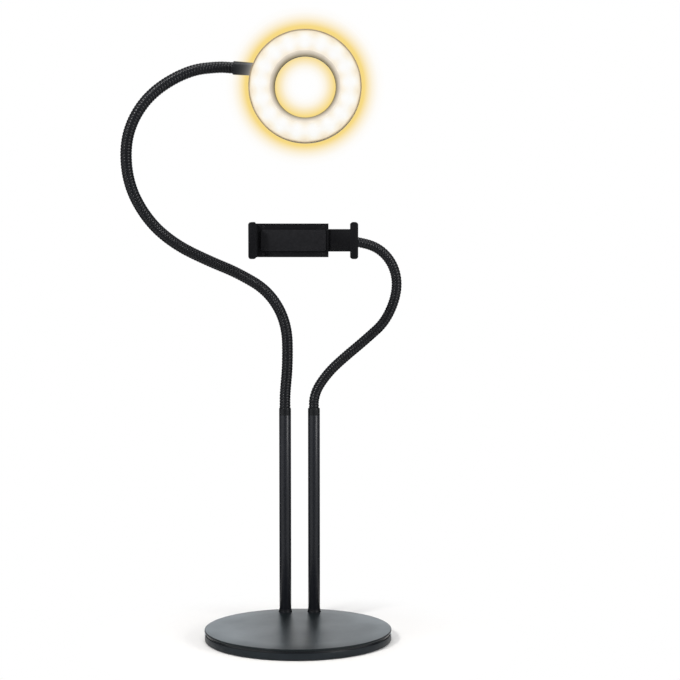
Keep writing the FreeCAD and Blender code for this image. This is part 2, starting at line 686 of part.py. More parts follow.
def ball_stud(face, direction, length, ball, bore):
    """A stud with a grooved tail, a flange and a ball, about +Z from the sleeve's face."""
    tail = SLEEVE_INSERT - length + STUD_TAIL_END_GAP
    groove_low = -SET_SCREW_BACK - STUD_GROOVE_WIDTH / 2
    groove_high = -SET_SCREW_BACK + STUD_GROOVE_WIDTH / 2
    flange = RUNNING_FIT + STUD_FLANGE
    root = STUD_EXPOSED - math.sqrt(ball ** 2 - STUD_NECK_RADIUS ** 2)
    root_angle = math.degrees(math.asin(STUD_NECK_RADIUS / ball)) - 90
    tip_angle = math.degrees(math.acos(bore / ball))
    return placed(turned([(bore, tail), (STUD_TAIL_RADIUS, tail), (STUD_TAIL_RADIUS, groove_low),
                          (STUD_GROOVE_RADIUS, groove_low), (STUD_GROOVE_RADIUS, groove_high),
                          (STUD_TAIL_RADIUS, groove_high), (STUD_TAIL_RADIUS, RUNNING_FIT),
                          (STUD_FLANGE_RADIUS, RUNNING_FIT), (STUD_FLANGE_RADIUS, flange),
                          (STUD_NECK_RADIUS, flange), (STUD_NECK_RADIUS, root),
                          bend((0, STUD_EXPOSED), ball, root_angle, tip_angle)]),
                  face, direction)


def light_sleeve():
    return sleeve(LIGHT_FACE, LIGHT_END, LIGHT_SLEEVE_LENGTH, LIGHT_NECK_RADIUS)


def phone_sleeve():
    return sleeve(PHONE_FACE, PHONE_END, PHONE_SLEEVE_LENGTH, PHONE_NECK_RADIUS)


def light_sleeve_screw():
    return set_screw(LIGHT_FACE, LIGHT_END)


def phone_sleeve_screw():
    return set_screw(PHONE_FACE, PHONE_END)


def light_ball_stud():
    return ball_stud(LIGHT_FACE, LIGHT_END, LIGHT_SLEEVE_LENGTH, LIGHT_BALL_RADIUS,
                     LIGHT_STUD_BORE)


def phone_ball_stud():
    return ball_stud(PHONE_FACE, PHONE_END, PHONE_SLEEVE_LENGTH, PHONE_BALL_RADIUS, 0)


# ---------------------------------------------------------------- lead
def lead_path():
    """The lead's corners and arc reaches: from the outlet, up the post, along the light's
    neck, through the sleeve, stud and ball, and forward into the ring."""
    outlet = LIGHT_POST + UP * OUTLET_Z
    inner_end = outlet + REAR * (POST_BORE - GROMMET_FLANGE - RUNNING_FIT)
    turn = LIGHT_BALL + LIGHT_END * (LIGHT_BALL_RADIUS + LEAD_BEND + LOOSE_FIT)
    plug = turn + FRONT * (SOCKET_STANDOFF + BOARD_HEIGHT - CONNECTOR_HEIGHT)
    corners = [inner_end, outlet] + LIGHT_CORNERS[1:-1] + [turn, plug]
    neck = arc_reaches(LIGHT_CORNERS, LIGHT_STATION_COUNTS)[1:-1]
    return corners, [0.0, LEAD_BEND] + neck + [LEAD_BEND, 0.0]


def light_lead():
    corners, reaches = lead_path()
    edges, radii = path_edges(corners, reaches)
    lead = swept(edges, LEAD_RADIUS)
    report_path("light_lead", edges, radii, lead, math.pi * LEAD_RADIUS ** 2)
    return lead


def lead_channel():
    """The way that the lead takes from the ball through the socket into the ring."""
    corners, reaches = lead_path()
    edges, radii = path_edges([LIGHT_BALL] + corners[-2:], [0.0] + reaches[-2:])
    return swept(edges, LEAD_HOLE)


# ---------------------------------------------------------------- ring light
# Outlines are (radius, height), where height is measured forward from the ring's back.
RING_HOLE_RADIUS = RING_RADIUS - RING_BAND
RING_OUTER_BORE = RING_RADIUS - RING_WALL
RING_CORNER_SINE = min(1.0, (RING_REAR_ROUND - RING_FLOOR) / (RING_REAR_ROUND - RING_WALL))
RING_CORNER_END = -math.degrees(math.asin(RING_CORNER_SINE))
RING_INNER_WALL = RING_HOLE_RADIUS + RING_WALL
BEZEL_BORE = RING_RADIUS - BEZEL_WALL
LEDGE_HEIGHT = RING_DEPTH - DIFFUSER_RECESS - DIFFUSER_THICKNESS
BOARD_INNER = RING_HOLE_RADIUS + BOARD_INNER_GAP
BOARD_OUTER = BEZEL_BORE - BOARD_OUTER_GAP
BOARD_TOP = BOARD_HEIGHT + BOARD_THICKNESS
LED_CIRCLE = RING_RADIUS - LED_INSET
LED_STEP = 360.0 / LED_COUNT
COVER_SCREW_CIRCLE = RING_RADIUS - COVER_SCREW_INSET


def on_ring(shape):
    """A shape drawn about +Z, moved to the ring's back and turned to face forward."""
    return placed(shape, RING_BACK, FRONT)


def cover_screw_spots():
    return around(Vector(), COVER_SCREW_CIRCLE, COVER_SCREW_COUNT, COVER_SCREW_FIRST_ANGLE)


def board_screw_spots():
    return [polar(LED_CIRCLE, 90 + LED_STEP * (step + 0.5))
            for step in BOARD_SCREW_LED_COUNTS]


def socket_block(low, high):
    """The socket's outline, a round with an ear above and below, between two Y planes."""
    centre = Vector(LIGHT_BALL.x, 0, LIGHT_BALL.z)
    ear = UP * SOCKET_SCREW_SPACING
    side = RIGHT * SOCKET_EAR_RADIUS
    shape = rod(SOCKET_RADIUS, centre + REAR * low, centre + REAR * high)
    for spot in (centre + ear, centre - ear):
        shape = shape.fuse(rod(SOCKET_EAR_RADIUS, spot + REAR * low, spot + REAR * high))
    web = block(centre - side - ear + REAR * low, centre + side + ear + REAR * high)
    return shape.fuse(web).removeSplitter()


def socket_hollow():
    """The ball's seat and the mouth that lets the stud swing."""
    seat = Part.makeSphere(LIGHT_BALL_RADIUS + RUNNING_FIT, LIGHT_BALL)
    depth = SOCKET_RADIUS + SOCKET_CAP_ROUND
    width = depth * math.tan(math.radians(SOCKET_MOUTH_ANGLE))
    return seat.fuse(Part.makeCone(0, width, depth, LIGHT_BALL, LIGHT_END * -1))


def socket_screw_spots():
    return [LIGHT_BALL + UP * SOCKET_SCREW_SPACING, LIGHT_BALL - UP * SOCKET_SCREW_SPACING]


def ring_rear_cover():
    """The rear shell: floor, outer wall, hole wall, bosses and the front half of the socket."""
    outer = RING_RADIUS - RING_REAR_ROUND
    inner = RING_HOLE_RADIUS + RING_HOLE_ROUND
    cover = turned([(inner, 0), (outer, 0),
                    bend((outer, RING_REAR_ROUND), RING_REAR_ROUND, -90, 0),
                    (RING_RADIUS, RING_REAR_DEPTH), (RING_OUTER_BORE, RING_REAR_DEPTH),
                    (RING_OUTER_BORE, RING_REAR_ROUND),
                    bend((outer, RING_REAR_ROUND), RING_REAR_ROUND - RING_WALL, 0, RING_CORNER_END),
                    (outer, RING_FLOOR), (RING_INNER_WALL, RING_FLOOR),
                    (RING_INNER_WALL, RING_HOLE_WALL_DEPTH),
                    (RING_HOLE_RADIUS, RING_HOLE_WALL_DEPTH),
                    (RING_HOLE_RADIUS, RING_HOLE_ROUND),
                    bend((inner, RING_HOLE_ROUND), RING_HOLE_ROUND, 180, 270)])
    for spot in board_screw_spots():
        boss = rod(BOARD_BOSS_RADIUS, spot + UP * RING_FLOOR / 2, spot + UP * BOARD_HEIGHT)
        pilot = rod(BOARD_SCREW_RADIUS + RUNNING_FIT, spot + UP * RING_FLOOR,
                    spot + UP * BOARD_HEIGHT)
        cover = cover.fuse(boss).cut(pilot)
    for spot in cover_screw_spots():
        sink = rod(COVER_SCREW_HEAD_RADIUS + RUNNING_FIT, spot - UP * RING_FLOOR,
                   spot + UP * COVER_SCREW_HEAD)
        hole = rod(COVER_SCREW_RADIUS + LOOSE_FIT, spot, spot + UP * RING_REAR_ROUND)
        cover = cover.cut(sink).cut(hole)
    cover = on_ring(cover)
    cover = cover.fuse(socket_block(RING_BACK.y - RING_FLOOR / 2, LIGHT_BALL.y))
    cover = cover.cut(socket_hollow()).cut(lead_channel())
    for spot in socket_screw_spots():
        cover = cover.cut(rod(SOCKET_SCREW_RADIUS + RUNNING_FIT, spot,
                              spot + FRONT * (SOCKET_SCREW_REACH + LOOSE_FIT)))
    return cover


def ring_socket_cap():
    """The rear half of the socket, screwed on over the ball."""
    top = LIGHT_BALL.y + SOCKET_CAP_HEIGHT
    cap = socket_block(LIGHT_BALL.y, top)
    rim = [edge for edge in cap.Edges if min(v.Y for v in edge.Vertexes) > top - TOUCHING]
    cap = cap.makeFillet(SOCKET_CAP_ROUND, rim).cut(socket_hollow()).cut(lead_channel())
    head = SOCKET_SCREW_HEAD_RADIUS + RUNNING_FIT
    for spot in socket_screw_spots():
        seat = spot + REAR * (SOCKET_CAP_HEIGHT - SOCKET_SCREW_HEAD)
        cap = cap.cut(rod(head, seat, seat + REAR * SOCKET_CAP_HEIGHT))
        cap = cap.cut(rod(SOCKET_SCREW_RADIUS + LOOSE_FIT, spot, seat))
    return cap


def socket_screws():
    """Two screws that close the socket's cap."""
    screws = []
    for spot in socket_screw_spots():
        seat = spot + REAR * (SOCKET_CAP_HEIGHT - SOCKET_SCREW_HEAD)
        head = rod(SOCKET_SCREW_HEAD_RADIUS, seat, seat + REAR * SOCKET_SCREW_HEAD)
        shank = rod(SOCKET_SCREW_RADIUS, spot + FRONT * SOCKET_SCREW_REACH, seat)
        screws.append(head.fuse(shank))
    return Part.makeCompound(screws)


def cover_corner():
    """The rear cover's rounded corner, with a fit's play, for what stands against it."""
    outer = RING_RADIUS - RING_REAR_ROUND
    inside = RING_REAR_ROUND - RING_WALL - RUNNING_FIT
    return turned([(outer, 0), (RING_RADIUS, 0), (RING_RADIUS, RING_REAR_ROUND),
                   (outer + inside, RING_REAR_ROUND),
                   bend((outer, RING_REAR_ROUND), inside, 0, RING_CORNER_END),
                   (outer, RING_FLOOR)])


def ring_front_bezel():
    """The outer wall's front part, with the thin lip round the diffuser and screw columns."""
    lip = RING_RADIUS - RING_LIP
    edge = RING_RADIUS - RING_LIP_CHAMFER
    spigot = RING_OUTER_BORE - RUNNING_FIT
    low = RING_REAR_DEPTH - BEZEL_LIP_DEPTH
    bezel = turned([(RING_RADIUS, RING_REAR_DEPTH), (RING_RADIUS, RING_DEPTH - RING_LIP_CHAMFER),
                    (edge, RING_DEPTH), (lip, RING_DEPTH), (lip, LEDGE_HEIGHT),
                    (BEZEL_BORE, LEDGE_HEIGHT), (BEZEL_BORE, low), (spigot, low),
                    (spigot, RING_REAR_DEPTH)])
    for spot in cover_screw_spots():
        base = spot + UP * RING_FLOOR
        column = rod(COVER_SCREW_BOSS_RADIUS, base, base + UP * COVER_SCREW_BOSS_HEIGHT)
        column = column.cut(cover_corner())
        pilot = rod(COVER_SCREW_RADIUS + RUNNING_FIT, base,
                    spot + UP * (COVER_SCREW_HEAD + COVER_SCREW_LENGTH + LOOSE_FIT))
        bezel = bezel.fuse(column).cut(pilot)
    return on_ring(bezel)


def ring_cover_screws():
    """Pan-head screws from the rear into the bezel's columns."""
    length = COVER_SCREW_HEAD + COVER_SCREW_LENGTH
    screw = rod(COVER_SCREW_HEAD_RADIUS, Vector(), UP * COVER_SCREW_HEAD)
    screw = screw.fuse(rod(COVER_SCREW_RADIUS, Vector(), UP * length))
    return on_ring(Part.makeCompound([placed(screw, spot, UP) for spot in cover_screw_spots()]))


def ring_inner_bezel():
    """The sloping band round the hole, with its ledge for the diffuser and its spigot."""
    front = RING_HOLE_RADIUS + BEVEL_WIDTH
    rim = front + BEVEL_RIM
    ledge = rim + BEVEL_LEDGE
    spigot = RING_INNER_WALL + RUNNING_FIT
    back = spigot + BEVEL_SPIGOT_WALL
    under = LEDGE_HEIGHT - BEVEL_LEDGE_THICKNESS
    return on_ring(turned([(RING_HOLE_RADIUS, RING_HOLE_WALL_DEPTH), (front, RING_DEPTH),
                           (rim, RING_DEPTH), (rim, LEDGE_HEIGHT), (ledge, LEDGE_HEIGHT),
                           (ledge, under), (rim, under),
                           (back, RING_HOLE_WALL_DEPTH + BEVEL_SPIGOT_WALL),
                           (back, RING_HOLE_WALL_DEPTH - BEVEL_SPIGOT_DEPTH),
                           (spigot, RING_HOLE_WALL_DEPTH - BEVEL_SPIGOT_DEPTH),
                           (spigot, RING_HOLE_WALL_DEPTH)]))


def ring_diffuser():
    """The opal ring in front of the LEDs, slightly crowned."""
    inner = RING_HOLE_RADIUS + BEVEL_WIDTH + BEVEL_RIM + RUNNING_FIT
    outer = RING_RADIUS - RING_LIP - RUNNING_FIT
    edge = LEDGE_HEIGHT + DIFFUSER_THICKNESS
    crown = ((inner + outer) / 2, edge + DIFFUSER_CROWN)
    return on_ring(turned([(inner, LEDGE_HEIGHT), (outer, LEDGE_HEIGHT), (outer, edge),
                           (crown, (inner, edge))]))


def led_board():
    """The ring-shaped circuit board on the rear cover's bosses."""
    board = ring(BOARD_OUTER, BOARD_INNER, UP * BOARD_HEIGHT, UP * BOARD_TOP)
    for spot in board_screw_spots():
        board = board.cut(rod(BOARD_SCREW_RADIUS + LOOSE_FIT, spot, spot + UP * BOARD_TOP))
    return on_ring(board)


def led_chips():
    """The LEDs, the first at the top of the ring."""
    half = LED_SIZE / 2
    chip = block(Vector(LED_CIRCLE - half, -half, BOARD_TOP),
                 Vector(LED_CIRCLE + half, half, BOARD_TOP + LED_HEIGHT))
    chips = []
    for i in range(LED_COUNT):
        one = chip.copy()
        one.rotate(Vector(), UP, 90 + LED_STEP * i)
        chips.append(one)
    return on_ring(Part.makeCompound(chips))


def ring_reflector():
    """The white dish round the LEDs, screwed down on the board."""
    inner = BOARD_INNER + REFLECTOR_INNER_GAP
    top = LEDGE_HEIGHT - RUNNING_FIT * 2
    floor = BOARD_TOP + REFLECTOR_WALL
    dish = turned([(inner, BOARD_TOP), (BOARD_OUTER, BOARD_TOP),
                   (BOARD_OUTER + REFLECTOR_OUTER_FLARE, top),
                   (BOARD_OUTER + REFLECTOR_OUTER_FLARE - REFLECTOR_WALL, top),
                   (BOARD_OUTER - REFLECTOR_WALL, floor), (inner + REFLECTOR_WALL, floor),
                   (inner + REFLECTOR_INNER_FLARE + REFLECTOR_WALL, top),
                   (inner + REFLECTOR_INNER_FLARE, top)])
    half = REFLECTOR_WINDOW / 2
    window = block(Vector(LED_CIRCLE - half, -half, BOARD_TOP - REFLECTOR_WALL),
                   Vector(LED_CIRCLE + half, half, floor + REFLECTOR_WALL))
    windows = []
    for i in range(LED_COUNT):
        one = window.copy()
        one.rotate(Vector(), UP, 90 + LED_STEP * i)
        windows.append(one)
    for spot in board_screw_spots():
        windows.append(rod(BOARD_SCREW_RADIUS + LOOSE_FIT, spot, spot + UP * RING_DEPTH))
    return on_ring(dish.cut(windows))


def board_screws():
    """Screws through the reflector and the board into the rear cover's bosses."""
    seat = BOARD_TOP + REFLECTOR_WALL
    screw = rod(BOARD_SCREW_HEAD_RADIUS, UP * seat, UP * (seat + BOARD_SCREW_HEAD))
    screw = screw.fuse(rod(BOARD_SCREW_RADIUS, UP * (seat - BOARD_SCREW_LENGTH), UP * seat))
    return on_ring(Part.makeCompound([placed(screw, spot, UP) for spot in board_screw_spots()]))


def lead_connector():
    """The plug under the board that the lead ends in."""
    corners, reaches = lead_path()
    half = (RIGHT + UP) * (CONNECTOR_SIZE / 2)
    return block(corners[-1] - half + FRONT * CONNECTOR_HEIGHT, corners[-1] + half)


# ---------------------------------------------------------------- phone clamp
# The clamp is drawn with x to the right, y up and z forward from the housing's back, and
# its origin is in front of the ball.
PAD_FACE = CLAMP_OPENING / 2
JAW_FACE = PAD_FACE + JAW_PAD
CLAMP_LEFT_END = -JAW_FACE
CHANNEL_LEFT = CLAMP_LEFT_END + CLAMP_LEFT_WALL
COVER_BACK = CLAMP_DEPTH - CLAMP_COVER
CHANNEL_HALF_HEIGHT = TONGUE_HALF_HEIGHT + LOOSE_FIT
CLAMP_COVER_HALF_HEIGHT = CLAMP_HALF_HEIGHT - CLAMP_ROUND
CLAMP_COVER_LEFT = CHANNEL_LEFT - CLAMP_COVER_INSET
SPRING_CENTRE = (CLAMP_BACK_WALL + COVER_BACK) / 2
SPRING_PIN_X = CHANNEL_LEFT + SPRING_PIN_RADIUS + LOOSE_FIT


def on_clamp(shape):
    return placed(shape, CLAMP_BACK, FRONT)


def jaw(side):
    """A jaw on the left (-1) or the right (+1): a plate with a hook over the phone's face."""
    outer = PAD_FACE + JAW_THICKNESS
    low = Vector(PAD_FACE, -JAW_HALF_HEIGHT, 0)
    high = Vector(outer, JAW_HALF_HEIGHT, JAW_REACH)
    shape = rounded_block(low, high, JAW_ROUND, UP)
    recess = block(Vector(0, -2 * JAW_HALF_HEIGHT, -JAW_REACH),
                   Vector(JAW_FACE, 2 * JAW_HALF_HEIGHT, JAW_REACH - JAW_HOOK))
    shape = shape.cut(recess)
    if side < 0:
        return shape.mirror(Vector(), RIGHT)
    return shape


def clamp_screw_spots():
    height = (CHANNEL_HALF_HEIGHT + CLAMP_COVER_HALF_HEIGHT) / 2
    left = CLAMP_COVER_LEFT + CLAMP_SCREW_INSET
    right = CLAMP_RIGHT_END - CLAMP_SCREW_INSET
    return [Vector(x, y, 0) for x in (left, right) for y in (-height, height)]


def clamp_body():
    """The housing with the fixed jaw, the slider's channel and the ball's seat."""
    shape = rounded_block(Vector(CLAMP_LEFT_END, -CLAMP_HALF_HEIGHT, 0),
                          Vector(CLAMP_RIGHT_END, CLAMP_HALF_HEIGHT, CLAMP_DEPTH),
                          CLAMP_ROUND, RIGHT)
    shape = shape.fuse(jaw(-1)).removeSplitter()
    past = CLAMP_RIGHT_END + CLAMP_DEPTH
    channel = block(Vector(CHANNEL_LEFT, -CHANNEL_HALF_HEIGHT, CLAMP_BACK_WALL),
                    Vector(past, CHANNEL_HALF_HEIGHT, CLAMP_DEPTH))
    rebate = block(Vector(CLAMP_COVER_LEFT, -CLAMP_COVER_HALF_HEIGHT, COVER_BACK),
                   Vector(past, CLAMP_COVER_HALF_HEIGHT, 2 * CLAMP_DEPTH))
    shape = shape.cut(channel).cut(rebate)
    for side in (-1, 1):
        foot = Vector(SPRING_PIN_X, side * SPRING_Z, CLAMP_BACK_WALL / 2)
        pin_top = Vector(SPRING_PIN_X, side * SPRING_Z, COVER_BACK - RUNNING_FIT)
        shape = shape.fuse(rod(SPRING_PIN_RADIUS, foot, pin_top))
    seat_height = COVER_BACK - CLAMP_SCREW_LENGTH
    for spot in clamp_screw_spots():
        shape = shape.cut(rod(CLAMP_SCREW_RADIUS + RUNNING_FIT, spot + UP * seat_height,
                              spot + UP * COVER_BACK))
    ball = DOWN * CLAMP_STANDOFF
    shape = shape.fuse(rod(CLAMP_BOSS_RADIUS, ball, UP * CLAMP_BACK_WALL / 2))
    shape = shape.cut(Part.makeSphere(PHONE_BALL_RADIUS + RUNNING_FIT, ball))
    return on_clamp(shape)


def clamp_cover():
    """The plate that closes the housing over the slider."""
    cover = block(Vector(CLAMP_COVER_LEFT + RUNNING_FIT,
                         RUNNING_FIT - CLAMP_COVER_HALF_HEIGHT, COVER_BACK),
                  Vector(CLAMP_RIGHT_END, CLAMP_COVER_HALF_HEIGHT - RUNNING_FIT, CLAMP_DEPTH))
    for spot in clamp_screw_spots():
        cover = cover.cut(rod(CLAMP_SCREW_RADIUS + LOOSE_FIT, spot, spot + UP * CLAMP_DEPTH))
        cover = cover.cut(rod(CLAMP_SCREW_HEAD_RADIUS + RUNNING_FIT,
                              spot + UP * (CLAMP_DEPTH - CLAMP_SCREW_HEAD),
                              spot + UP * 2 * CLAMP_DEPTH))
    return on_clamp(cover)


def clamp_cover_screws():
    seat = CLAMP_DEPTH - CLAMP_SCREW_HEAD
    tip = COVER_BACK - CLAMP_SCREW_LENGTH + LOOSE_FIT
    screw = rod(CLAMP_SCREW_HEAD_RADIUS, UP * seat, UP * CLAMP_DEPTH)
    screw = screw.fuse(rod(CLAMP_SCREW_RADIUS, UP * tip, UP * seat))
    return on_clamp(Part.makeCompound([placed(screw, spot, UP) for spot in clamp_screw_spots()]))


def clamp_slider():
    """The sliding jaw with its tongue, slotted for the two springs."""
    low = CLAMP_BACK_WALL + LOOSE_FIT
    high = COVER_BACK - LOOSE_FIT
    shape = block(Vector(-TONGUE_LEFT_END, -TONGUE_HALF_HEIGHT, low),
                  Vector(JAW_FACE + JAW_PAD, TONGUE_HALF_HEIGHT, high))
    slot = SPRING_RADIUS + SPRING_SLOT_PLAY
    for side in (-1, 1):
        middle = side * SPRING_Z
        shape = shape.cut(block(Vector(-2 * TONGUE_LEFT_END, middle - slot, 0),
                                Vector(TONGUE_SLOT_END, middle + slot, CLAMP_DEPTH)))
    return on_clamp(shape.fuse(jaw(1)).removeSplitter())


def clamp_springs():
    """Two tension springs, drawn as tubes, from the housing's pins to the slots' ends."""
    left = SPRING_PIN_X + SPRING_PIN_RADIUS + RUNNING_FIT
    right = TONGUE_SLOT_END - RUNNING_FIT
    springs = []
    for side in (-1, 1):
        middle = Vector(0, side * SPRING_Z, SPRING_CENTRE)
        springs.append(ring(SPRING_RADIUS, SPRING_RADIUS / 2, middle + RIGHT * left,
                            middle + RIGHT * right))
    return on_clamp(Part.makeCompound(springs))


def jaw_pad(side):
    """A ribbed rubber pad on a jaw's inner face."""
    half = JAW_HALF_HEIGHT - JAW_PAD_MARGIN
    low = CLAMP_DEPTH + FACE_PAD + LOOSE_FIT
    high = JAW_REACH - JAW_HOOK - LOOSE_FIT
    pad = block(Vector(PAD_FACE, -half, low), Vector(JAW_FACE, half, high))
    pitch = (high - low) / JAW_PAD_RIB_COUNT
    for i in range(1, JAW_PAD_RIB_COUNT):
        middle = low + i * pitch
        pad = pad.cut(block(Vector(PAD_FACE, -half, middle - pitch / 5),
                            Vector(PAD_FACE + JAW_PAD_RIB_DEPTH, half, middle + pitch / 5)))
    if side < 0:
        pad = pad.mirror(Vector(), RIGHT)
    return on_clamp(pad)


def fixed_jaw_pad():
    return jaw_pad(-1)


def sliding_jaw_pad():
    return jaw_pad(1)


def clamp_face_pad():
    """The soft sheet that the phone's back lies on."""
    left = CLAMP_COVER_LEFT + FACE_PAD_MARGIN
    right = CLAMP_RIGHT_END - FACE_PAD_MARGIN
    return on_clamp(rounded_block(Vector(left, -FACE_PAD_HALF_HEIGHT, CLAMP_DEPTH),
                                  Vector(right, FACE_PAD_HALF_HEIGHT, CLAMP_DEPTH + FACE_PAD),
                                  FACE_PAD_MARGIN, UP))


def clamp_lock_nut():
    """The knurled cap nut that closes over the ball, about the stud's axis."""
    bore = CLAMP_BOSS_RADIUS + RUNNING_FIT * 2
    seat = PHONE_BALL_RADIUS + RUNNING_FIT
    slope = math.tan(math.radians(NUT_MOUTH_ANGLE))
    lip_angle = 90 - NUT_MOUTH_ANGLE
    nut = turned([(bore, -NUT_SKIRT), (NUT_RADIUS - NUT_CHAMFER, -NUT_SKIRT),
                  (NUT_RADIUS, NUT_CHAMFER - NUT_SKIRT), (NUT_RADIUS, NUT_SHOULDER),
                  (CLAMP_BOSS_RADIUS, NUT_TOP), (NUT_TOP * slope, NUT_TOP),
                  (seat * math.cos(math.radians(lip_angle)),
                   seat * math.sin(math.radians(lip_angle))),
                  bend((0, 0), seat, lip_angle, 1),
                  (bore, seat * math.sin(math.radians(1)))])
    grooves = []
    for spot in around(Vector(), NUT_RADIUS, NUT_GROOVE_COUNT, 0):
        grooves.append(rod(NUT_GROOVE_RADIUS, spot - UP * 2 * NUT_SKIRT, spot + UP * NUT_SKIRT))
    return placed(nut.cut(grooves), PHONE_BALL, REAR)


# ---------------------------------------------------------------- all pieces
PIECES = (
    foot_pad, base_pan, base_screws, base_weight, base_cover, post_washers, post_bolts,
    light_post, phone_post, post_inserts, post_foot_rings, light_neck_ferrule,
    phone_neck_ferrule, post_grub_screws, cable_grommet, light_lead,
    light_sleeve, light_sleeve_screw, light_ball_stud,
    ring_rear_cover, ring_socket_cap, socket_screws, ring_front_bezel, ring_cover_screws,
    ring_inner_bezel, ring_diffuser, ring_reflector, led_board, led_chips, board_screws,
    lead_connector,
    phone_sleeve, phone_sleeve_screw, phone_ball_stud,
    clamp_body, clamp_cover, clamp_cover_screws, clamp_slider, clamp_springs, fixed_jaw_pad,
    sliding_jaw_pad, clamp_face_pad, clamp_lock_nut,
)


def export(name, shape):
    """Write one sub-part, as a plain solid where it has only one."""
    solids = shape.Solids
    if len(solids) == 1:
        shape = solids[0]
    shape.exportStep("parts/%s.step" % name)


def main():
    os.makedirs("parts", exist_ok=True)
    for make in PIECES:
        export(make.__name__, make())
    for name, corners, runs, radius in (
            ("light_neck", LIGHT_CORNERS, LIGHT_STATION_COUNTS, LIGHT_NECK_RADIUS),
            ("phone_neck", PHONE_CORNERS, PHONE_STATION_COUNTS, PHONE_NECK_RADIUS)):
        for node, span in neck_spans(name, corners, runs, radius).items():
            export(node, span)


if __name__ == "__main__":
    main()
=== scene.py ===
"""The looks of a desk ring light with a phone clamp, built round its CAD frame.

Laid out as an add-on and run as a script: sizes and colours are properties, each piece or
group of like pieces has an operator, and a panel in the sidebar lists them.
"""
import json
from math import ceil, cos, pi, radians, sin

import bpy
from bpy.props import FloatProperty, FloatVectorProperty, PointerProperty
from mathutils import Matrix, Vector

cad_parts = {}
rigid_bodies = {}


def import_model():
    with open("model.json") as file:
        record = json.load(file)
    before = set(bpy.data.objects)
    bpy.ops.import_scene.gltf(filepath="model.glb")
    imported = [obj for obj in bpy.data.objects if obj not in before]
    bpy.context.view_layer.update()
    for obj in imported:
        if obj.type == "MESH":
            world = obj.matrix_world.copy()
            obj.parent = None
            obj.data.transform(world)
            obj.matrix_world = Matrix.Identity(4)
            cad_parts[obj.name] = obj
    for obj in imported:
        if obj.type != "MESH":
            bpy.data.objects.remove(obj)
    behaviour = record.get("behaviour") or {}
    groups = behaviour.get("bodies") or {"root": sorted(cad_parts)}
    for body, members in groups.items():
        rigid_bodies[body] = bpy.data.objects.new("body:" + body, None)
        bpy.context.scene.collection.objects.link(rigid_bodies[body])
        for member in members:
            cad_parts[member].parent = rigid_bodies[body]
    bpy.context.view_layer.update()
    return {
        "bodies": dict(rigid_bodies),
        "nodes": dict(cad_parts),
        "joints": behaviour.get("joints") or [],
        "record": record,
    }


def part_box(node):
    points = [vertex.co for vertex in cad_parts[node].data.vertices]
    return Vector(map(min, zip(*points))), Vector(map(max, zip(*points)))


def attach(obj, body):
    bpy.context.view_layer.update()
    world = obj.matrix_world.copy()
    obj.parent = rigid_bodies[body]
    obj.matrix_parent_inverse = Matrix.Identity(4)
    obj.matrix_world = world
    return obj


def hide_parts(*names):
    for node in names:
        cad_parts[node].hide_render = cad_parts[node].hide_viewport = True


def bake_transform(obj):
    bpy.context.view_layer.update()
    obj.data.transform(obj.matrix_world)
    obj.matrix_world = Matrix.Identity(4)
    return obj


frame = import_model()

bl_info = {
    "name": "Ring light stand",
    "version": (1, 0, 0),
    "blender": (4, 5, 0),
    "location": "View3D > Sidebar > Ring light",
    "description": "Builds a desk ring light with a gooseneck phone clamp",
    "category": "Object",
}

MM = 0.001
UP = Vector((0, 0, 1))
FRONT = Vector((0, -1, 0))
REAR = Vector((0, 1, 0))
RIGHT = Vector((1, 0, 0))
WHITE = (1, 1, 1, 1)
WELD = 2e-6                     # vertices closer than this are one


def middle(node):
    low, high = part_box(node)
    return (low + high) / 2


# Places, slots and joints from the frame.
NODE_SLOTS = {part["node"]: part["material_slot"] for part in frame["record"]["subparts"]}
JOINTS = {joint["name"]: joint for joint in frame["joints"]}
BASE_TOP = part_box("base_cover")[1].z
LIGHT_POST, PHONE_POST = middle("light_post"), middle("phone_post")
POST_FEET = [Vector((post.x, post.y, 0)) for post in (LIGHT_POST, PHONE_POST)]
FERRULE_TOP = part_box("light_neck_ferrule")[1].z
RING_BACK = middle("ring_front_bezel")
RING_BACK.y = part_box("ring_cover_screws")[1].y
LIGHT_BALL = Vector(JOINTS["ring_tilt"]["pos_m"])
PHONE_BALL = Vector(JOINTS["phone_rotate"]["pos_m"])
LIGHT_END = Vector(JOINTS["ring_tilt"]["axis"]).normalized()
if LIGHT_END.x < 0:
    LIGHT_END = -LIGHT_END
CLAMP_BACK = PHONE_BALL + FRONT * 9 * MM

# Corners of each neck's route, in millimetres from the top of its ferrule.
LIGHT_ROUTE = [
    (0, 0, -4.5), (0, 0, 3), (0, 0, 12.5), (2.5, -3, 38.5), (2, -8, 73.5), (-13, -15.5, 101),
    (-39, -25.5, 117), (-60.5, -39.5, 126.5), (-88, -53.5, 140.5), (-109.5, -65.5, 160),
    (-124.5, -76.5, 189), (-126.5, -83.5, 222), (-117.5, -87, 247), (-100.5, -85.5, 267),
    (-74, -81, 282), (-51, -76.5, 285),
]
PHONE_ROUTE = [
    (0, 0, -4.5), (0, 0, 1.5), (0, 0, 8), (3.5, -.3, 18.5), (13.5, -1.5, 32), (25, -4.5, 43),
    (45.5, -8, 60.5), (62, -11, 76), (71.5, -13.5, 101.5), (68.5, -15.5, 122.5),
    (55.5, -18, 138), (35.5, -21, 143.5), (11.5, -24.5, 145.2), (-.3, -33, 145.2),
    (-6.9, -46, 145.2),
]
LIGHT_STATIONS = ("light_neck_lean", "light_neck_swing", "light_neck_curl", "light_neck_reach")
PHONE_STATIONS = ("phone_neck_bend", "phone_neck_lean")

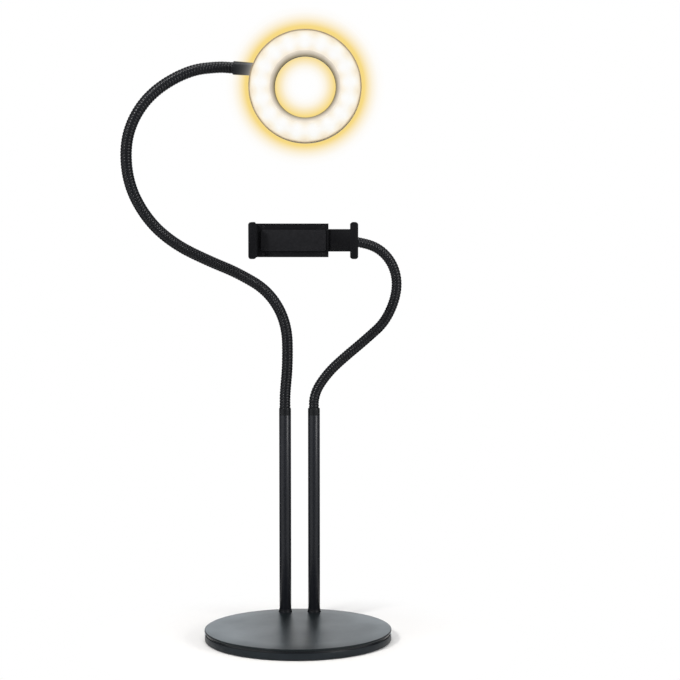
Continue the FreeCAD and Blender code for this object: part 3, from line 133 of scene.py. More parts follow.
# Sizes in millimetres and degrees.
BASE_SCREW_CIRCLE = 52
BASE_SCREWS = [Vector((cos(radians(turn)), sin(radians(turn)), 0)) * BASE_SCREW_CIRCLE * MM
               for turn in (45, 135, 225, 315)]
POST_RADIUS, POST_BORE = 5.1, 4.3
GRUB_HOLE = 1.55
STUD_EXPOSED = 10.0             # from a sleeve's face to its ball's centre
SLEEVE_INSERT = 8.0             # how far a neck stands in its sleeve
LIGHT_SLEEVE_LENGTH = 15.8
PHONE_SLEEVE_LENGTH = 14.0
RING_RADIUS = 45
RING_DEPTH = 18
OPAL_INNER, OPAL_OUTER = 28.85, 44.15
LED_COUNT = 17
LED_CIRCLE = 34.6
BOARD_SCREW_COUNTS = (1, 7, 12)     # a board screw stands after this many LEDs
COVER_SCREW_CIRCLE = 40.7
COVER_SCREW_TURNS = (22, 112, 202, 292)
SPRING_RADIUS = 2.0
SPRING_WIRE = 0.26
SPRING_TURNS = 34

# How bright the room is in reflections, by degrees from the front round to the rear.
ROOM_TONES = ((0, 0.2), (18, 0.25), (38, 1), (85, 1), (105, 0.06), (158, 0.06), (172, 1),
              (180, 1))
# How far a lobe of light shifts the diffuser's colours, in millimetres by radius.
LOBES = ((28.8, -0.4), (33.5, -1.5), (36.5, 0), (39.3, 1.4), (41.8, 1.4), (43.3, 0))
LOBE_REACH = 2.0
CREASE_CREAM = (0.95, 0.86, 0.70, 1)
CREASE_SHARE = 0.3              # how far the light turns to cream midway between two LEDs
# Colours of the lit faces by radius: the diffuser's own light, and painted light on the bevel.
OPAL_TONES = (
    (28.6, (0.93, 0.84, 0.70)), (29.6, (0.955, 0.89, 0.77)), (32.0, (0.97, 0.95, 0.91)),
    (35.0, (0.975, 0.97, 0.955)), (38.0, (0.97, 0.965, 0.935)), (41.4, (0.955, 0.895, 0.77)),
    (42.8, (0.935, 0.84, 0.68)), (43.5, (0.84, 0.73, 0.54)), (44.3, (0.60, 0.47, 0.29)))
BEVEL_PAINTED_LIGHT = (
    (24.3, (0.12, 0.095, 0.05)), (24.8, (0.38, 0.31, 0.17)), (25.5, (0.50, 0.43, 0.31)),
    (26.4, (0.72, 0.635, 0.51)), (27.2, (0.87, 0.775, 0.64)), (28.0, (1.0, 0.90, 0.75)),
    (28.8, (1.2, 1.10, 0.95)))
# Painted spill light on the end sleeve, by radius from the ring's middle, as emission.
SLEEVE_PAINTED_SPILL = (
    (45.6, (0.33, 0.30, 0.25)), (47.9, (0.172, 0.166, 0.152)), (49.4, (0.114, 0.112, 0.108)),
    (51, (0.074, 0.073, 0.071)), (53.3, (0.040, 0.040, 0.039)), (55.6, (0.020,) * 3),
    (58, (0.008,) * 3), (61, (0, 0, 0)))
# Strength of the halo by radius, outside the ring and in its hole.
HALO_OUTSIDE = ((43.6, 1), (47.7, 1), (49.2, 0.84), (51.7, 0.57), (54.1, 0.35), (56.6, 0.19),
                (58.9, 0.07), (61.4, 0.03), (64.2, 0))
HALO_INSIDE = ((6.5, 0), (9.7, 0.02), (12.9, 0.10), (16.2, 0.29), (19.4, 0.60), (22.6, 0.86),
               (24.4, 1), (26.2, 1))
SLOT_HALF = 5.2                 # half the width of the halo's slot for the sleeve
ROOM_LIGHT = 0.42               # light of the room on the stand, where 1 is white
FLOOR_GLOW = 0.09
FLOOR_FADE = (0.10, 0.19)       # metres from the middle where the floor turns white
# Each lamp's name, place, aim, width in metres, power in watts and colour.
LAMPS = (
    ("Key", (-1.1, -1.3, 1.5), (0, 0, 0.25), 0.45, 26, (1, 1, 1)),
    ("Fill", (1.4, -1.1, 0.7), (0, 0, 0.25), 0.7, 12, (1, 1, 1)),
    ("Top", (0, -0.2, 1.9), (0, 0, 0), 1.0, 14, (1, 1, 1)),
    ("Back left", (-0.25, 1.6, 0.4), (0, 0, 0.05), 0.35, 0.56, (0.74, 0.89, 1)),
    ("Back right", (0.17, 1.6, 0.4), (0, 0, 0.05), 0.35, 0.45, (0.74, 0.89, 1)))
CAMERA_SPOT = Vector((0.0348, -1.55, 0.3545))
CAMERA_DIP = 3.88               # degrees below level
CAMERA_LENS = 100.06


class StandSizes(bpy.types.PropertyGroup):
    """Sizes that a user may change without touching the frame."""
    coil_pitch: FloatProperty(
        name="Coil pitch", description="Distance between two turns of a gooseneck's wire",
        default=0.00245, min=0.001, unit="LENGTH", subtype="DISTANCE")
    coil_groove: FloatProperty(
        name="Coil groove", description="Depth of the groove between two turns",
        default=0.00050, min=0.0002, unit="LENGTH", subtype="DISTANCE")
    light_neck_radius: FloatProperty(
        name="Light's neck radius", description="Outside radius of the light's gooseneck",
        default=0.00472, min=0.002, unit="LENGTH", subtype="DISTANCE")
    phone_neck_radius: FloatProperty(
        name="Clamp's neck radius", description="Outside radius of the clamp's gooseneck",
        default=0.00430, min=0.002, unit="LENGTH", subtype="DISTANCE")
    lead_radius: FloatProperty(
        name="Lead radius", description="Radius of the lead inside the light's neck",
        default=0.0009, min=0.0003, unit="LENGTH", subtype="DISTANCE")
    bend_reach: FloatProperty(
        name="Bend reach", description="Length of neck that bends on each side of a station",
        default=0.028, min=0.005, unit="LENGTH", subtype="DISTANCE")


class StandColours(bpy.types.PropertyGroup):
    """Colours of the finishes, as linear values."""
    cover: FloatVectorProperty(
        name="Base cover", description="Satin paint of the base's top", subtype="COLOR",
        default=(0.0075, 0.010, 0.0112), min=0, max=1)
    post: FloatVectorProperty(
        name="Posts", description="Satin paint of the posts", subtype="COLOR",
        default=(0.0098, 0.0109, 0.0140), min=0, max=1)
    coil: FloatVectorProperty(
        name="Gooseneck", description="Black coating of the wound necks", subtype="COLOR",
        default=(0.0066, 0.0072, 0.0090), min=0, max=1)
    plastic: FloatVectorProperty(
        name="Clamp plastic", description="Matte black plastic of the clamp", subtype="COLOR",
        default=(0.0060, 0.0060, 0.0070), min=0, max=1)
    # Painted light: a warm colour on the ring's thin front edge, for the diffuser's light on it.
    rim: FloatVectorProperty(
        name="Lit rim", description="Thin front edge of the ring, lit through from behind",
        subtype="COLOR", default=(0.30, 0.235, 0.15), min=0, max=1)
    halo: FloatVectorProperty(
        name="Halo", description="Warm light that hangs round the lit ring", subtype="COLOR",
        default=(0.93, 0.70, 0.23), min=0, max=1)
    # Glow of the lit faces: the diffuser's own light, and painted light on the inner bevel.
    glow: FloatProperty(
        name="Glow", description="Share of the lit faces' colour that is their own light",
        default=0.66, min=0, max=1, subtype="FACTOR")


def sizes():
    return bpy.context.scene.stand_sizes


def colours():
    return bpy.context.scene.stand_colours


# ---------------------------------------------------------------- working in the scene
def pick(*objects):
    """Deselects everything, then selects these and makes the first one active."""
    if bpy.context.object is not None and bpy.context.object.mode != "OBJECT":
        bpy.ops.object.mode_set(mode="OBJECT")
    bpy.ops.object.select_all(action="DESELECT")
    for obj in objects:
        obj.select_set(True)
    if objects:
        bpy.context.view_layer.objects.active = objects[0]


def start_edit(obj):
    """Opens a piece for editing, with all of it selected."""
    pick(obj)
    bpy.ops.object.mode_set(mode="EDIT")
    bpy.ops.mesh.select_mode(type="VERT")
    bpy.ops.mesh.select_all(action="SELECT")


def end_edit(outwards=False):
    """Leaves editing, if wanted with all faces turned outwards."""
    if outwards:
        bpy.ops.mesh.select_all(action="SELECT")
        bpy.ops.mesh.normals_make_consistent(inside=False)
    bpy.ops.object.mode_set(mode="OBJECT")


def select(obj, kind, test):
    """While editing, selects the faces or edges that pass the test."""
    bpy.ops.mesh.select_mode(type=kind)
    bpy.ops.mesh.select_all(action="DESELECT")
    bpy.ops.object.mode_set(mode="OBJECT")
    for element in obj.data.polygons if kind == "FACE" else obj.data.edges:
        element.select = test(element)
    bpy.ops.object.mode_set(mode="EDIT")


def settle(obj):
    """Puts the object at the origin, with its place in its mesh."""
    pick(obj)
    bpy.ops.object.transform_apply(location=True, rotation=True, scale=True)
    return obj


def apply_all(obj):
    pick(obj)
    for modifier in list(obj.modifiers):
        bpy.ops.object.modifier_apply(modifier=modifier.name)


def soften(obj, width):
    """Rounds the sharp edges, as a mould or a deburring leaves them."""
    modifier = obj.modifiers.new("Edges", "BEVEL")
    modifier.width = width * MM
    modifier.segments = 2
    modifier.limit_method = "ANGLE"
    modifier.angle_limit = radians(32)
    modifier.use_clamp_overlap = True
    apply_all(obj)


def copies(obj, spots):
    """Copies of a piece, each with its own mesh, moved to each spot but the first."""
    made = [obj]
    for spot in spots[1:]:
        pick(obj)
        bpy.ops.object.duplicate(linked=False)
        bpy.context.object.location = spot - spots[0]
        made.append(settle(bpy.context.object))
    return made


def dress(obj, name, *nodes, material=None, angle=38):
    """Smooths a finished piece, names it and gives it the finish of the nodes that it
    stands for."""
    pick(obj)
    bpy.ops.object.shade_smooth_by_angle(angle=radians(angle))
    slot = NODE_SLOTS[nodes[0]]
    obj.name = obj.data.name = name
    obj.data.materials.clear()
    obj.data.materials.append(material or finish(slot))
    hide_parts(*nodes)
    return obj


def place(obj, name, body, node, material=None):
    """Dresses a finished piece and hangs it on its body."""
    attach(dress(obj, name, node, material=material), body)


def moulding(node, name, body, width):
    """A merged copy of a CAD node with its edges rounded, which stands for the node."""
    obj = bpy.data.objects.new(name, frame["nodes"][node].data.copy())
    bpy.context.scene.collection.objects.link(obj)
    pick(obj)
    bpy.ops.mesh.customdata_custom_splitnormals_clear()
    start_edit(obj)
    bpy.ops.mesh.remove_doubles(threshold=WELD)
    bpy.ops.mesh.dissolve_limited(angle_limit=radians(0.4))
    end_edit()
    soften(obj, width)
    place(obj, name, body, node)


# ---------------------------------------------------------------- shapes
def arc(centre, radius, start, end, steps=5):
    """Points of an outline's rounded corner, without its first point."""
    angles = [radians(start + (end - start) * i / steps) for i in range(1, steps + 1)]
    return [(centre[0] + radius * cos(angle), centre[1] + radius * sin(angle))
            for angle in angles]


def lathe(outline, segments, origin=Vector(), axis=UP):
    """Draws an outline of (radius, height) points in millimetres and spins it about an axis.
    A point of radius 0 lies on the axis, and such an outline starts and ends there."""
    side = axis.orthogonal().normalized()
    if outline[0][0] > 0:
        outline = outline + outline[:1]
    points = [origin + (side * r + axis * h) * MM for r, h in outline]
    bpy.ops.mesh.primitive_plane_add(size=MM, location=(0, 0, 0))
    obj = bpy.context.object
    start_edit(obj)
    bpy.ops.mesh.merge(type="CENTER")
    bpy.ops.transform.translate(value=points[0])
    for here, there in zip(points, points[1:]):
        bpy.ops.mesh.extrude_region_move(TRANSFORM_OT_translate={"value": there - here})
    bpy.ops.mesh.select_all(action="SELECT")
    bpy.ops.mesh.spin(steps=segments, angle=2 * pi, center=origin, axis=axis)
    bpy.ops.mesh.select_all(action="SELECT")
    bpy.ops.mesh.remove_doubles(threshold=WELD)
    end_edit(outwards=True)
    return settle(obj)


def peg(radius, spot, axis, start, end, sides=40, tip=None):
    """A round bar between two distances from a spot, or a cone with another radius at its
    tip."""
    start, end = spot + axis * start * MM, spot + axis * end * MM
    bpy.ops.mesh.primitive_cone_add(
        vertices=sides, radius1=radius * MM, radius2=(radius if tip is None else tip) * MM,
        depth=(end - start).length, location=(start + end) / 2,
        rotation=(end - start).to_track_quat("Z", "Y").to_euler())
    return settle(bpy.context.object)


def bar(low, high):
    """A plain block between two corners, used as a cutter."""
    bpy.ops.mesh.primitive_cube_add(size=1, location=(low + high) / 2)
    bpy.context.object.scale = high - low
    return settle(bpy.context.object)


def combine(obj, others, operation):
    """Cuts the others out of a piece or grows it by them, and uses them up."""
    for other in others:
        modifier = obj.modifiers.new("Shape", "BOOLEAN")
        modifier.operation = operation
        modifier.solver = "EXACT"
        modifier.object = other
        apply_all(obj)
        bpy.data.objects.remove(other)
    return obj


def cut(obj, *others):
    return combine(obj, others, "DIFFERENCE")


def grow(obj, *others):
    return combine(obj, others, "UNION")


def screw(spot, axis, head, height, shank, length, pitch=0.7, recess="cross", sunk=False):
    """A screw with its head's top at the spot. Its axis points from the head to the tip."""
    core = 0.84 * shank
    if sunk:
        outline = [(0, 0), (head - 0.1, 0), (core, height)]
    else:
        outline = [(0, 0), (head - 0.2, 0), (head, 0.2), (head, height), (core, height)]
    reach = height + pitch
    while reach + pitch < length - pitch:
        outline += [(core, reach), (shank, reach + pitch * 0.45), (core, reach + pitch * 0.9)]
        reach += pitch
    outline += [(core, length - 0.4), (core * 0.6, length), (0, length)]
    obj = lathe(outline, 32, spot, axis)
    depth = height * 0.62
    if recess == "hex":
        return cut(obj, peg(head * 0.56, spot, axis, -1, depth, 6))
    side = axis.orthogonal().normalized()
    for arm in (side, axis.cross(side)):
        half = (arm + axis.cross(arm) * 0.24) * head * 0.52 * MM
        cut(obj, bar(spot - half - axis * MM, spot + half + axis * depth * MM))
    return obj


def numbered(name, count):
    return ["%s_%d" % (name, i + 1) for i in range(count)]


def screws(names, spots, body, node, *shape, **more):
    """Makes one screw and copies it to every spot."""
    first = screw(spots[0], *shape, **more)
    for name, one in zip(names, copies(first, spots)):
        place(one, name, body, node)


# ---------------------------------------------------------------- finishes
class Graph:
    """A node tree that grows by nodes whose inputs are numbers, colours or sockets."""

    def __init__(self, tree):
        self.tree = tree

    def feed(self, node, inputs):
        """Links or sets a node's inputs, which are given by name or number."""
        for name, value in inputs.items():
            if isinstance(value, bpy.types.NodeSocket):
                self.tree.links.new(value, node.inputs[name])
            else:
                node.inputs[name].default_value = value

    def node(self, kind, inputs={}, **settings):
        made = self.tree.nodes.new(kind)
        for name, value in settings.items():
            setattr(made, name, value)
        self.feed(made, inputs)
        return made

    def math(self, operation, *values):
        """One step of arithmetic on sockets or numbers."""
        made = self.node("ShaderNodeMath", dict(enumerate(values)), operation=operation)
        return made.outputs[0]

    def span(self, value, low, high, start=0.3, end=0.7):
        """A value carried from one range into another."""
        return self.node("ShaderNodeMapRange", {
            "Value": value, "From Min": start, "From Max": end, "To Min": low,
            "To Max": high}).outputs["Result"]

    def ramp(self, value, stops):
        made = self.node("ShaderNodeValToRGB", {"Fac": value})
        band = made.color_ramp
        while len(band.elements) < len(stops):
            band.elements.new(0.5)
        for element, (position, colour) in zip(band.elements, stops):
            element.position = position
            element.color = (*colour, 1)
        return made.outputs["Color"]

    def tones(self, value, stops):
        """Colours by a value: each stop has the value that its colour belongs to."""
        low, high = stops[0][0], stops[-1][0]
        return self.ramp(self.span(value, 0, 1, low, high),
                         [((at - low) / (high - low), colour) for at, colour in stops])

    def mix(self, share, first, second):
        """A shader that goes from the first to the second as the share goes from 0 to 1."""
        return self.node("ShaderNodeMixShader", {
            "Fac": share, 1: first.outputs[0], 2: second.outputs[0]})

    def end_with(self, shader, output="Material Output"):
        self.feed(self.tree.nodes[output], {"Surface": shader.outputs[0]})


class Finish(Graph):
    """A procedural material: a shader with the nodes that give it its detail."""

    def __init__(self, name, colour, roughness, metallic=0.0):
        self.material = bpy.data.materials.new(name)
        self.material.use_nodes = True
        super().__init__(self.material.node_tree)
        self.shader = self.tree.nodes["Principled BSDF"]
        self.colour = tuple(colour)
        self.roughness = roughness
        self.set(Base_Color=(*self.colour, 1), Roughness=roughness, Metallic=metallic)
        self.place = self.node("ShaderNodeTexCoord").outputs["Object"]
        self.height = None

    def set(self, **inputs):
        """Feeds the shader's own inputs."""
        self.feed(self.shader, {name.replace("_", " "): inputs[name] for name in inputs})
        return self

    def mapped(self, centre, scale=1):
        """Places measured from a centre."""
        return self.node("ShaderNodeMapping", {
            "Scale": (scale,) * 3, "Location": [-c * scale for c in centre],
            "Vector": self.place}).outputs["Vector"]

    def noise(self, size, detail):
        """A noise whose blotches are about this many millimetres across."""
        return self.node("ShaderNodeTexNoise", {
            "Scale": 1 / (size * MM), "Detail": detail, "Roughness": 0.55,
            "Vector": self.place}).outputs["Fac"]

    def mottle(self, size, amount):
        """Slight light and dark patches in the colour."""
        low = tuple(c * (1 - amount) for c in self.colour)
        high = tuple(min(1.0, c * (1 + amount)) for c in self.colour)
        return self.set(Base_Color=self.ramp(self.noise(size, 4), [(0.32, low), (0.68, high)]))

    def rub(self, size, amount):
        """Patches that are duller or shinier than the rest."""
        return self.set(Roughness=self.span(
            self.noise(size, 5), max(0.03, self.roughness - amount),
            min(1.0, self.roughness + amount)))

    def relief(self, value, strength, depth):
        """Adds a height to the surface, over what is there already."""
        inputs = {"Strength": strength, "Distance": depth * MM, "Height": value}
        if self.height is not None:
            inputs["Normal"] = self.height
        self.height = self.node("ShaderNodeBump", inputs).outputs["Normal"]
        return self.set(Normal=self.height)

    def grain(self, size, strength, depth=0.02):
        return self.relief(self.noise(size, 2), strength, depth)


FINISHES = {}


def finish(slot):
    """The material of one of the record's slots, made once."""
    if slot not in FINISHES:
        FINISHES[slot] = FINISH_MAKERS[slot]().material
    return FINISHES[slot]


def powder_coat(name, colour, roughness, ior):
    """Fine satin paint, sprayed and baked, with a faint orange peel."""
    made = Finish(name, colour, roughness)
    made.mottle(22, 0.06).rub(30, 0.035).set(IOR=ior)
    return made.grain(0.5, 0.22, 0.012).grain(0.16, 0.18, 0.006)


def moulded(name, colour, roughness, grain=0.3, strength=0.25):
    """Moulded plastic with a spark-eroded grain."""
    made = Finish(name, colour, roughness)
    made.mottle(9, 0.1).rub(12, 0.05)
    if max(colour) < 0.1:
        made.set(IOR=1.17)
    return made.grain(grain, strength).grain(grain * 5, strength * 0.3)


def rubber(name, colour, roughness):
    made = Finish(name, colour, roughness)
    made.mottle(4, 0.14).rub(6, 0.06).set(IOR=1.2)
    return made.grain(0.22, 0.5)


def bare_metal(name, grey, blue, roughness):
    """Bare metal with the marks of the tool that made it, a touch bluer than grey."""
    made = Finish(name, (grey, grey, blue), roughness, 1.0)
    return made.mottle(5, 0.07).rub(2.5, 0.07).grain(0.25, 0.2, 0.006)


def brass_finish():
    """Brass with the fine rings of a lathe about an upright axis."""
    made = Finish("Insert brass", (0.68, 0.5, 0.24), 0.3, 1.0)
    made.mottle(5, 0.06).rub(3, 0.05)
    rings = made.node("ShaderNodeTexWave", {
        "Scale": 1 / (0.16 * MM) / 20, "Distortion": 0.4,
        "Vector": made.mapped(LIGHT_POST)}, wave_type="BANDS", bands_direction="Z")
    return made.relief(rings.outputs["Fac"], 0.2, 0.01)


def neck_finish():
    """Black coated wire: glossy crests, duller where hands have held it."""
    made = Finish("Coil black", colours().coil, 0.25)
    return made.mottle(14, 0.16).rub(9, 0.06).set(IOR=1.33).grain(0.35, 0.16, 0.01)


def cover_finish():
    made = Finish("Cover satin", colours().cover, 0.33)
    made.mottle(40, 0.05).rub(36, 0.03).set(IOR=1.25, Specular_Tint=(0.90, 0.96, 1.0, 1))
    return made.grain(0.32, 0.3, 0.008).grain(1.6, 0.1, 0.01)


def band_finish():
    """The polished band in the groove between the pan and the cover."""
    made = Finish("Polished band", (0.012, 0.014, 0.016), 0.12)
    return made.mottle(30, 0.08).rub(20, 0.03).set(IOR=1.33).grain(0.8, 0.05, 0.005)


def ring_frame(made, centre=RING_BACK):
    """Radius in millimetres, the turn about the ring's axis and the height forward from
    its back, as sockets."""
    place = made.node("ShaderNodeSeparateXYZ", {0: made.mapped(centre, 1 / MM)}).outputs
    x, y, z = place["X"], place["Y"], place["Z"]
    squares = made.math("ADD", made.math("MULTIPLY", x, x), made.math("MULTIPLY", z, z))
    return (made.math("SQRT", squares), made.math("ARCTAN2", z, x),
            made.math("MULTIPLY", y, -1))


def lit(made, radius, tones, paint=0.26, crease=None):
    """Colours a lit face by its radius: the colours as its glow, and a share of them as painted
    light in its base colour. The glow is creamier where the crease is more than 0."""
    light = made.tones(radius, tones)
    if crease:
        light = made.node("ShaderNodeMixRGB", {
            "Fac": crease, "Color1": light, "Color2": CREASE_CREAM}).outputs["Color"]
    painted = [(r, tuple(c * paint for c in colour)) for r, colour in tones]
    return made.set(Base_Color=made.tones(radius, painted), Emission_Color=light,
                    Emission_Strength=colours().glow)


def led_wave(made, turn):
    """1 in front of an LED and -1 midway between two."""
    return made.math("COSINE", made.math(
        "MULTIPLY", made.math("SUBTRACT", turn, pi / 2), LED_COUNT))


def opal_finish():
    """The lit diffuser: its glow is white over the LEDs and cream at its edges, a little more so
    between two LEDs, and a share of it is painted light in its base colour."""
    made = Finish("Opal diffuser", (0.80, 0.78, 0.73), 0.5).set(IOR=1.2)
    radius, turn, _ = ring_frame(made)
    lobes = made.tones(radius, [(r, (0.5 + shift / (2 * LOBE_REACH),) * 3)
                                for r, shift in LOBES])
    shift = made.math("MULTIPLY", made.math("SUBTRACT", lobes, 0.5), -2 * LOBE_REACH)
    wave = led_wave(made, turn)
    crease = made.math("MULTIPLY", made.math("SUBTRACT", 1, wave), CREASE_SHARE / 2)
    radius = made.math("ADD", radius, made.math("MULTIPLY", wave, shift))
    return lit(made, radius, OPAL_TONES, crease=crease).grain(0.4, 0.12, 0.01)


def bevel_painted_light_finish():
    """Glossy plastic of the sloping band, with painted light: an emission and base colour that
    brighten towards its outer edge and in front of each LED, standing in for the diffuser's
    light on it.
    """
    made = Finish("Inner bevel", (0.5, 0.4, 0.3), 0.4).set(IOR=1.2)
    radius, turn, _ = ring_frame(made)
    shift = made.math("MULTIPLY", led_wave(made, turn), made.span(radius, 0, 0.22, 25.5, 28.8))
    radius = made.math("ADD", radius, shift)
    return lit(made, radius, BEVEL_PAINTED_LIGHT, paint=0.12).grain(0.5, 0.08, 0.01)


def rim_painted_light_finish():
    """Black casing plastic whose thin front edge has painted light: a warm brown base colour
    that stands in for the diffuser's light showing through it.
    """
    made = moulded("Rim plastic", (0.017, 0.017, 0.019), 0.4, 0.35, 0.3)
    height = ring_frame(made)[2]
    front = made.span(height, 0, 1, 17.2, 17.8)
    return made.set(Base_Color=made.ramp(front, [(0, made.colour), (1, colours().rim)]))


def sleeve_painted_spill_finish():
    """Satin sleeve with painted spill light: an emission that grows nearer the lit ring."""
    made = powder_coat("Sleeve satin", (0.012, 0.013, 0.0145), 0.3, 1.2)
    radius = ring_frame(made)[0]
    return made.set(Emission_Color=made.tones(radius, SLEEVE_PAINTED_SPILL), Emission_Strength=1)


def led_finish():
    """Phosphor of a lit LED."""
    made = Finish("LED phosphor", (0.9, 0.72, 0.3), 0.4).mottle(0.6, 0.1)
    made.set(Emission_Color=(1.0, 0.86, 0.6, 1), Emission_Strength=1)
    return made.grain(0.2, 0.2, 0.01)


def board_finish():
    made = Finish("Board mask", (0.72, 0.73, 0.71), 0.38)
    return made.mottle(6, 0.04).rub(5, 0.06).grain(0.9, 0.25)


FINISH_MAKERS = {
    "foot_rubber": lambda: rubber("Foot rubber", (0.018, 0.018, 0.02), 0.85),
    "pan_plastic": lambda: moulded("Pan plastic", (0.0135, 0.0170, 0.0200), 0.40).set(IOR=1.22),
    "cover_metal": cover_finish,
    "weight_steel": lambda: bare_metal("Weight steel", 0.36, 0.37, 0.5),
    "screw_steel": lambda: bare_metal("Screw zinc", 0.55, 0.56, 0.32),
    "screw_black": lambda: bare_metal("Screw black", 0.05, 0.054, 0.38),
    "post_metal": lambda: powder_coat("Post satin", colours().post, 0.30, 1.35),
    "ring_brass": brass_finish,
    "collar_black": lambda: moulded("Collar black", (0.010, 0.0105, 0.012), 0.36, 0.2, 0.15),
    "neck_coil": neck_finish,
    "ferrule_metal": lambda: powder_coat("Ferrule satin", (0.007, 0.0078, 0.009), 0.3, 1.3),
    "lead_black": lambda: rubber("Lead sheath", (0.016, 0.016, 0.018), 0.5),
    "sleeve_black": sleeve_painted_spill_finish,
    "stud_steel": lambda: bare_metal("Stud steel", 0.66, 0.67, 0.14),
    "shell_black": lambda: moulded("Casing plastic", (0.017, 0.017, 0.019), 0.4, 0.35, 0.3),
    "bevel_black": bevel_painted_light_finish,
    "opal": opal_finish,
    "reflector_white": lambda: moulded("Reflector white", (0.82, 0.82, 0.8), 0.2, 0.5, 0.1),
    "board_white": board_finish,
    "led_yellow": led_finish,
    "plug_white": lambda: moulded("Plug nylon", (0.74, 0.73, 0.68), 0.42, 0.3, 0.2),
    "clamp_black": lambda: moulded("Clamp plastic", colours().plastic, 0.47, 0.28, 0.4),
    "pad_rubber": lambda: rubber("Pad rubber", (0.0095, 0.0095, 0.0108), 0.72),
    "spring_steel": lambda: bare_metal("Spring wire", 0.6, 0.61, 0.2),
    "nut_black": lambda: moulded("Nut plastic", (0.010, 0.0105, 0.012), 0.4, 0.25, 0.25),
}


# ---------------------------------------------------------------- necks
def line_through(points):
    """A smooth line whose control points are the given ones, samples along it and their
    distances from its start."""
    curve = bpy.data.curves.new("route", "CURVE")
    curve.dimensions = "3D"
    curve.resolution_u = 24
    spline = curve.splines.new("NURBS")
    spline.points.add(len(points) - 1)
    for knot, point in zip(spline.points, points):
        knot.co = (*point, 1)
    spline.order_u = 3
    spline.use_endpoint_u = True
    obj = bpy.data.objects.new("route", curve)
    bpy.context.scene.collection.objects.link(obj)
    bpy.context.view_layer.update()
    mesh = bpy.data.meshes.new_from_object(obj)
    samples = [v.co.copy() for v in mesh.vertices]
    bpy.data.meshes.remove(mesh)
    lengths = [0.0]
    for here, there in zip(samples, samples[1:]):
        lengths.append(lengths[-1] + (there - here).length)
    return obj, samples, lengths


def length_at(samples, lengths, point):
    """How far along the line its nearest point to the given one lies."""
    found = []
    for here, there, length in zip(samples, samples[1:], lengths):
        step = there - here
        share = max(0.0, min(1.0, (point - here).dot(step) / max(step.length_squared, 1e-18)))
        found.append(((here + step * share - point).length, length + step.length * share))
    return min(found)[1]


def point_at(samples, lengths, length):
    for i in range(len(samples) - 1):
        if lengths[i + 1] >= length:
            share = (length - lengths[i]) / max(lengths[i + 1] - lengths[i], 1e-12)
            return samples[i].lerp(samples[i + 1], share)
    return samples[-1]


def bend_along(obj, line):
    """Lays a piece that was made along X onto a line, by length."""
    modifier = obj.modifiers.new("Line", "CURVE")
    modifier.object = line
    modifier.deform_axis = "POS_X"
    apply_all(obj)


def wind(obj, pitch, turns, steps):
    """Winds an outline about the X axis into a wire, and closes the wire's ends."""
    modifier = obj.modifiers.new("Winding", "SCREW")
    modifier.axis = "X"
    modifier.angle = 2 * pi
    modifier.screw_offset = pitch
    modifier.iterations = turns
    modifier.steps = modifier.render_steps = steps
    modifier.use_normal_calculate = False
    apply_all(obj)
    start_edit(obj)
    bpy.ops.mesh.fill_holes(sides=0)
    end_edit(outwards=True)


def wound(start, turns, pitch, radius):
    """A flat-backed wire wound about the X axis, with a rounded crown."""
    bpy.ops.mesh.primitive_circle_add(vertices=12, radius=MM, location=(0, 0, 0))
    obj = bpy.context.object
    half, groove = pitch * 0.49, sizes().coil_groove
    across = [(-cos(pi * i / 8), groove * sin(pi * i / 8) ** 0.8) for i in range(9)]
    across += [(0.8, -0.0006), (0, -0.0006), (-0.8, -0.0006)]
    for vertex, (share, height) in zip(obj.data.vertices, across):
        vertex.co = (start + pitch / 2 + half * share, 0, radius - groove + height)
    wind(obj, pitch, turns, 20)
    return obj


def tube(start, end, radius, step=0.002, sides=12, bore=None):
    """A tube along X, divided finely enough to be bent."""
    bpy.ops.mesh.primitive_cylinder_add(
        vertices=sides, radius=radius, depth=end - start, location=((start + end) / 2, 0, 0),
        rotation=(0, pi / 2, 0))
    obj = settle(bpy.context.object)
    start_edit(obj)
    if bore:
        select(obj, "FACE", lambda face: abs(face.normal.x) > 0.9)
        bpy.ops.mesh.inset(thickness=radius - bore, use_individual=True)
        bpy.ops.mesh.bridge_edge_loops()
    select(obj, "EDGE", lambda edge: abs(
        obj.data.vertices[edge.vertices[0]].co.x - obj.data.vertices[edge.vertices[1]].co.x)
        > (end - start) / 2)
    bpy.ops.mesh.subdivide(number_cuts=min(99, max(1, ceil((end - start) / step))))
    end_edit(outwards=True)
    return obj


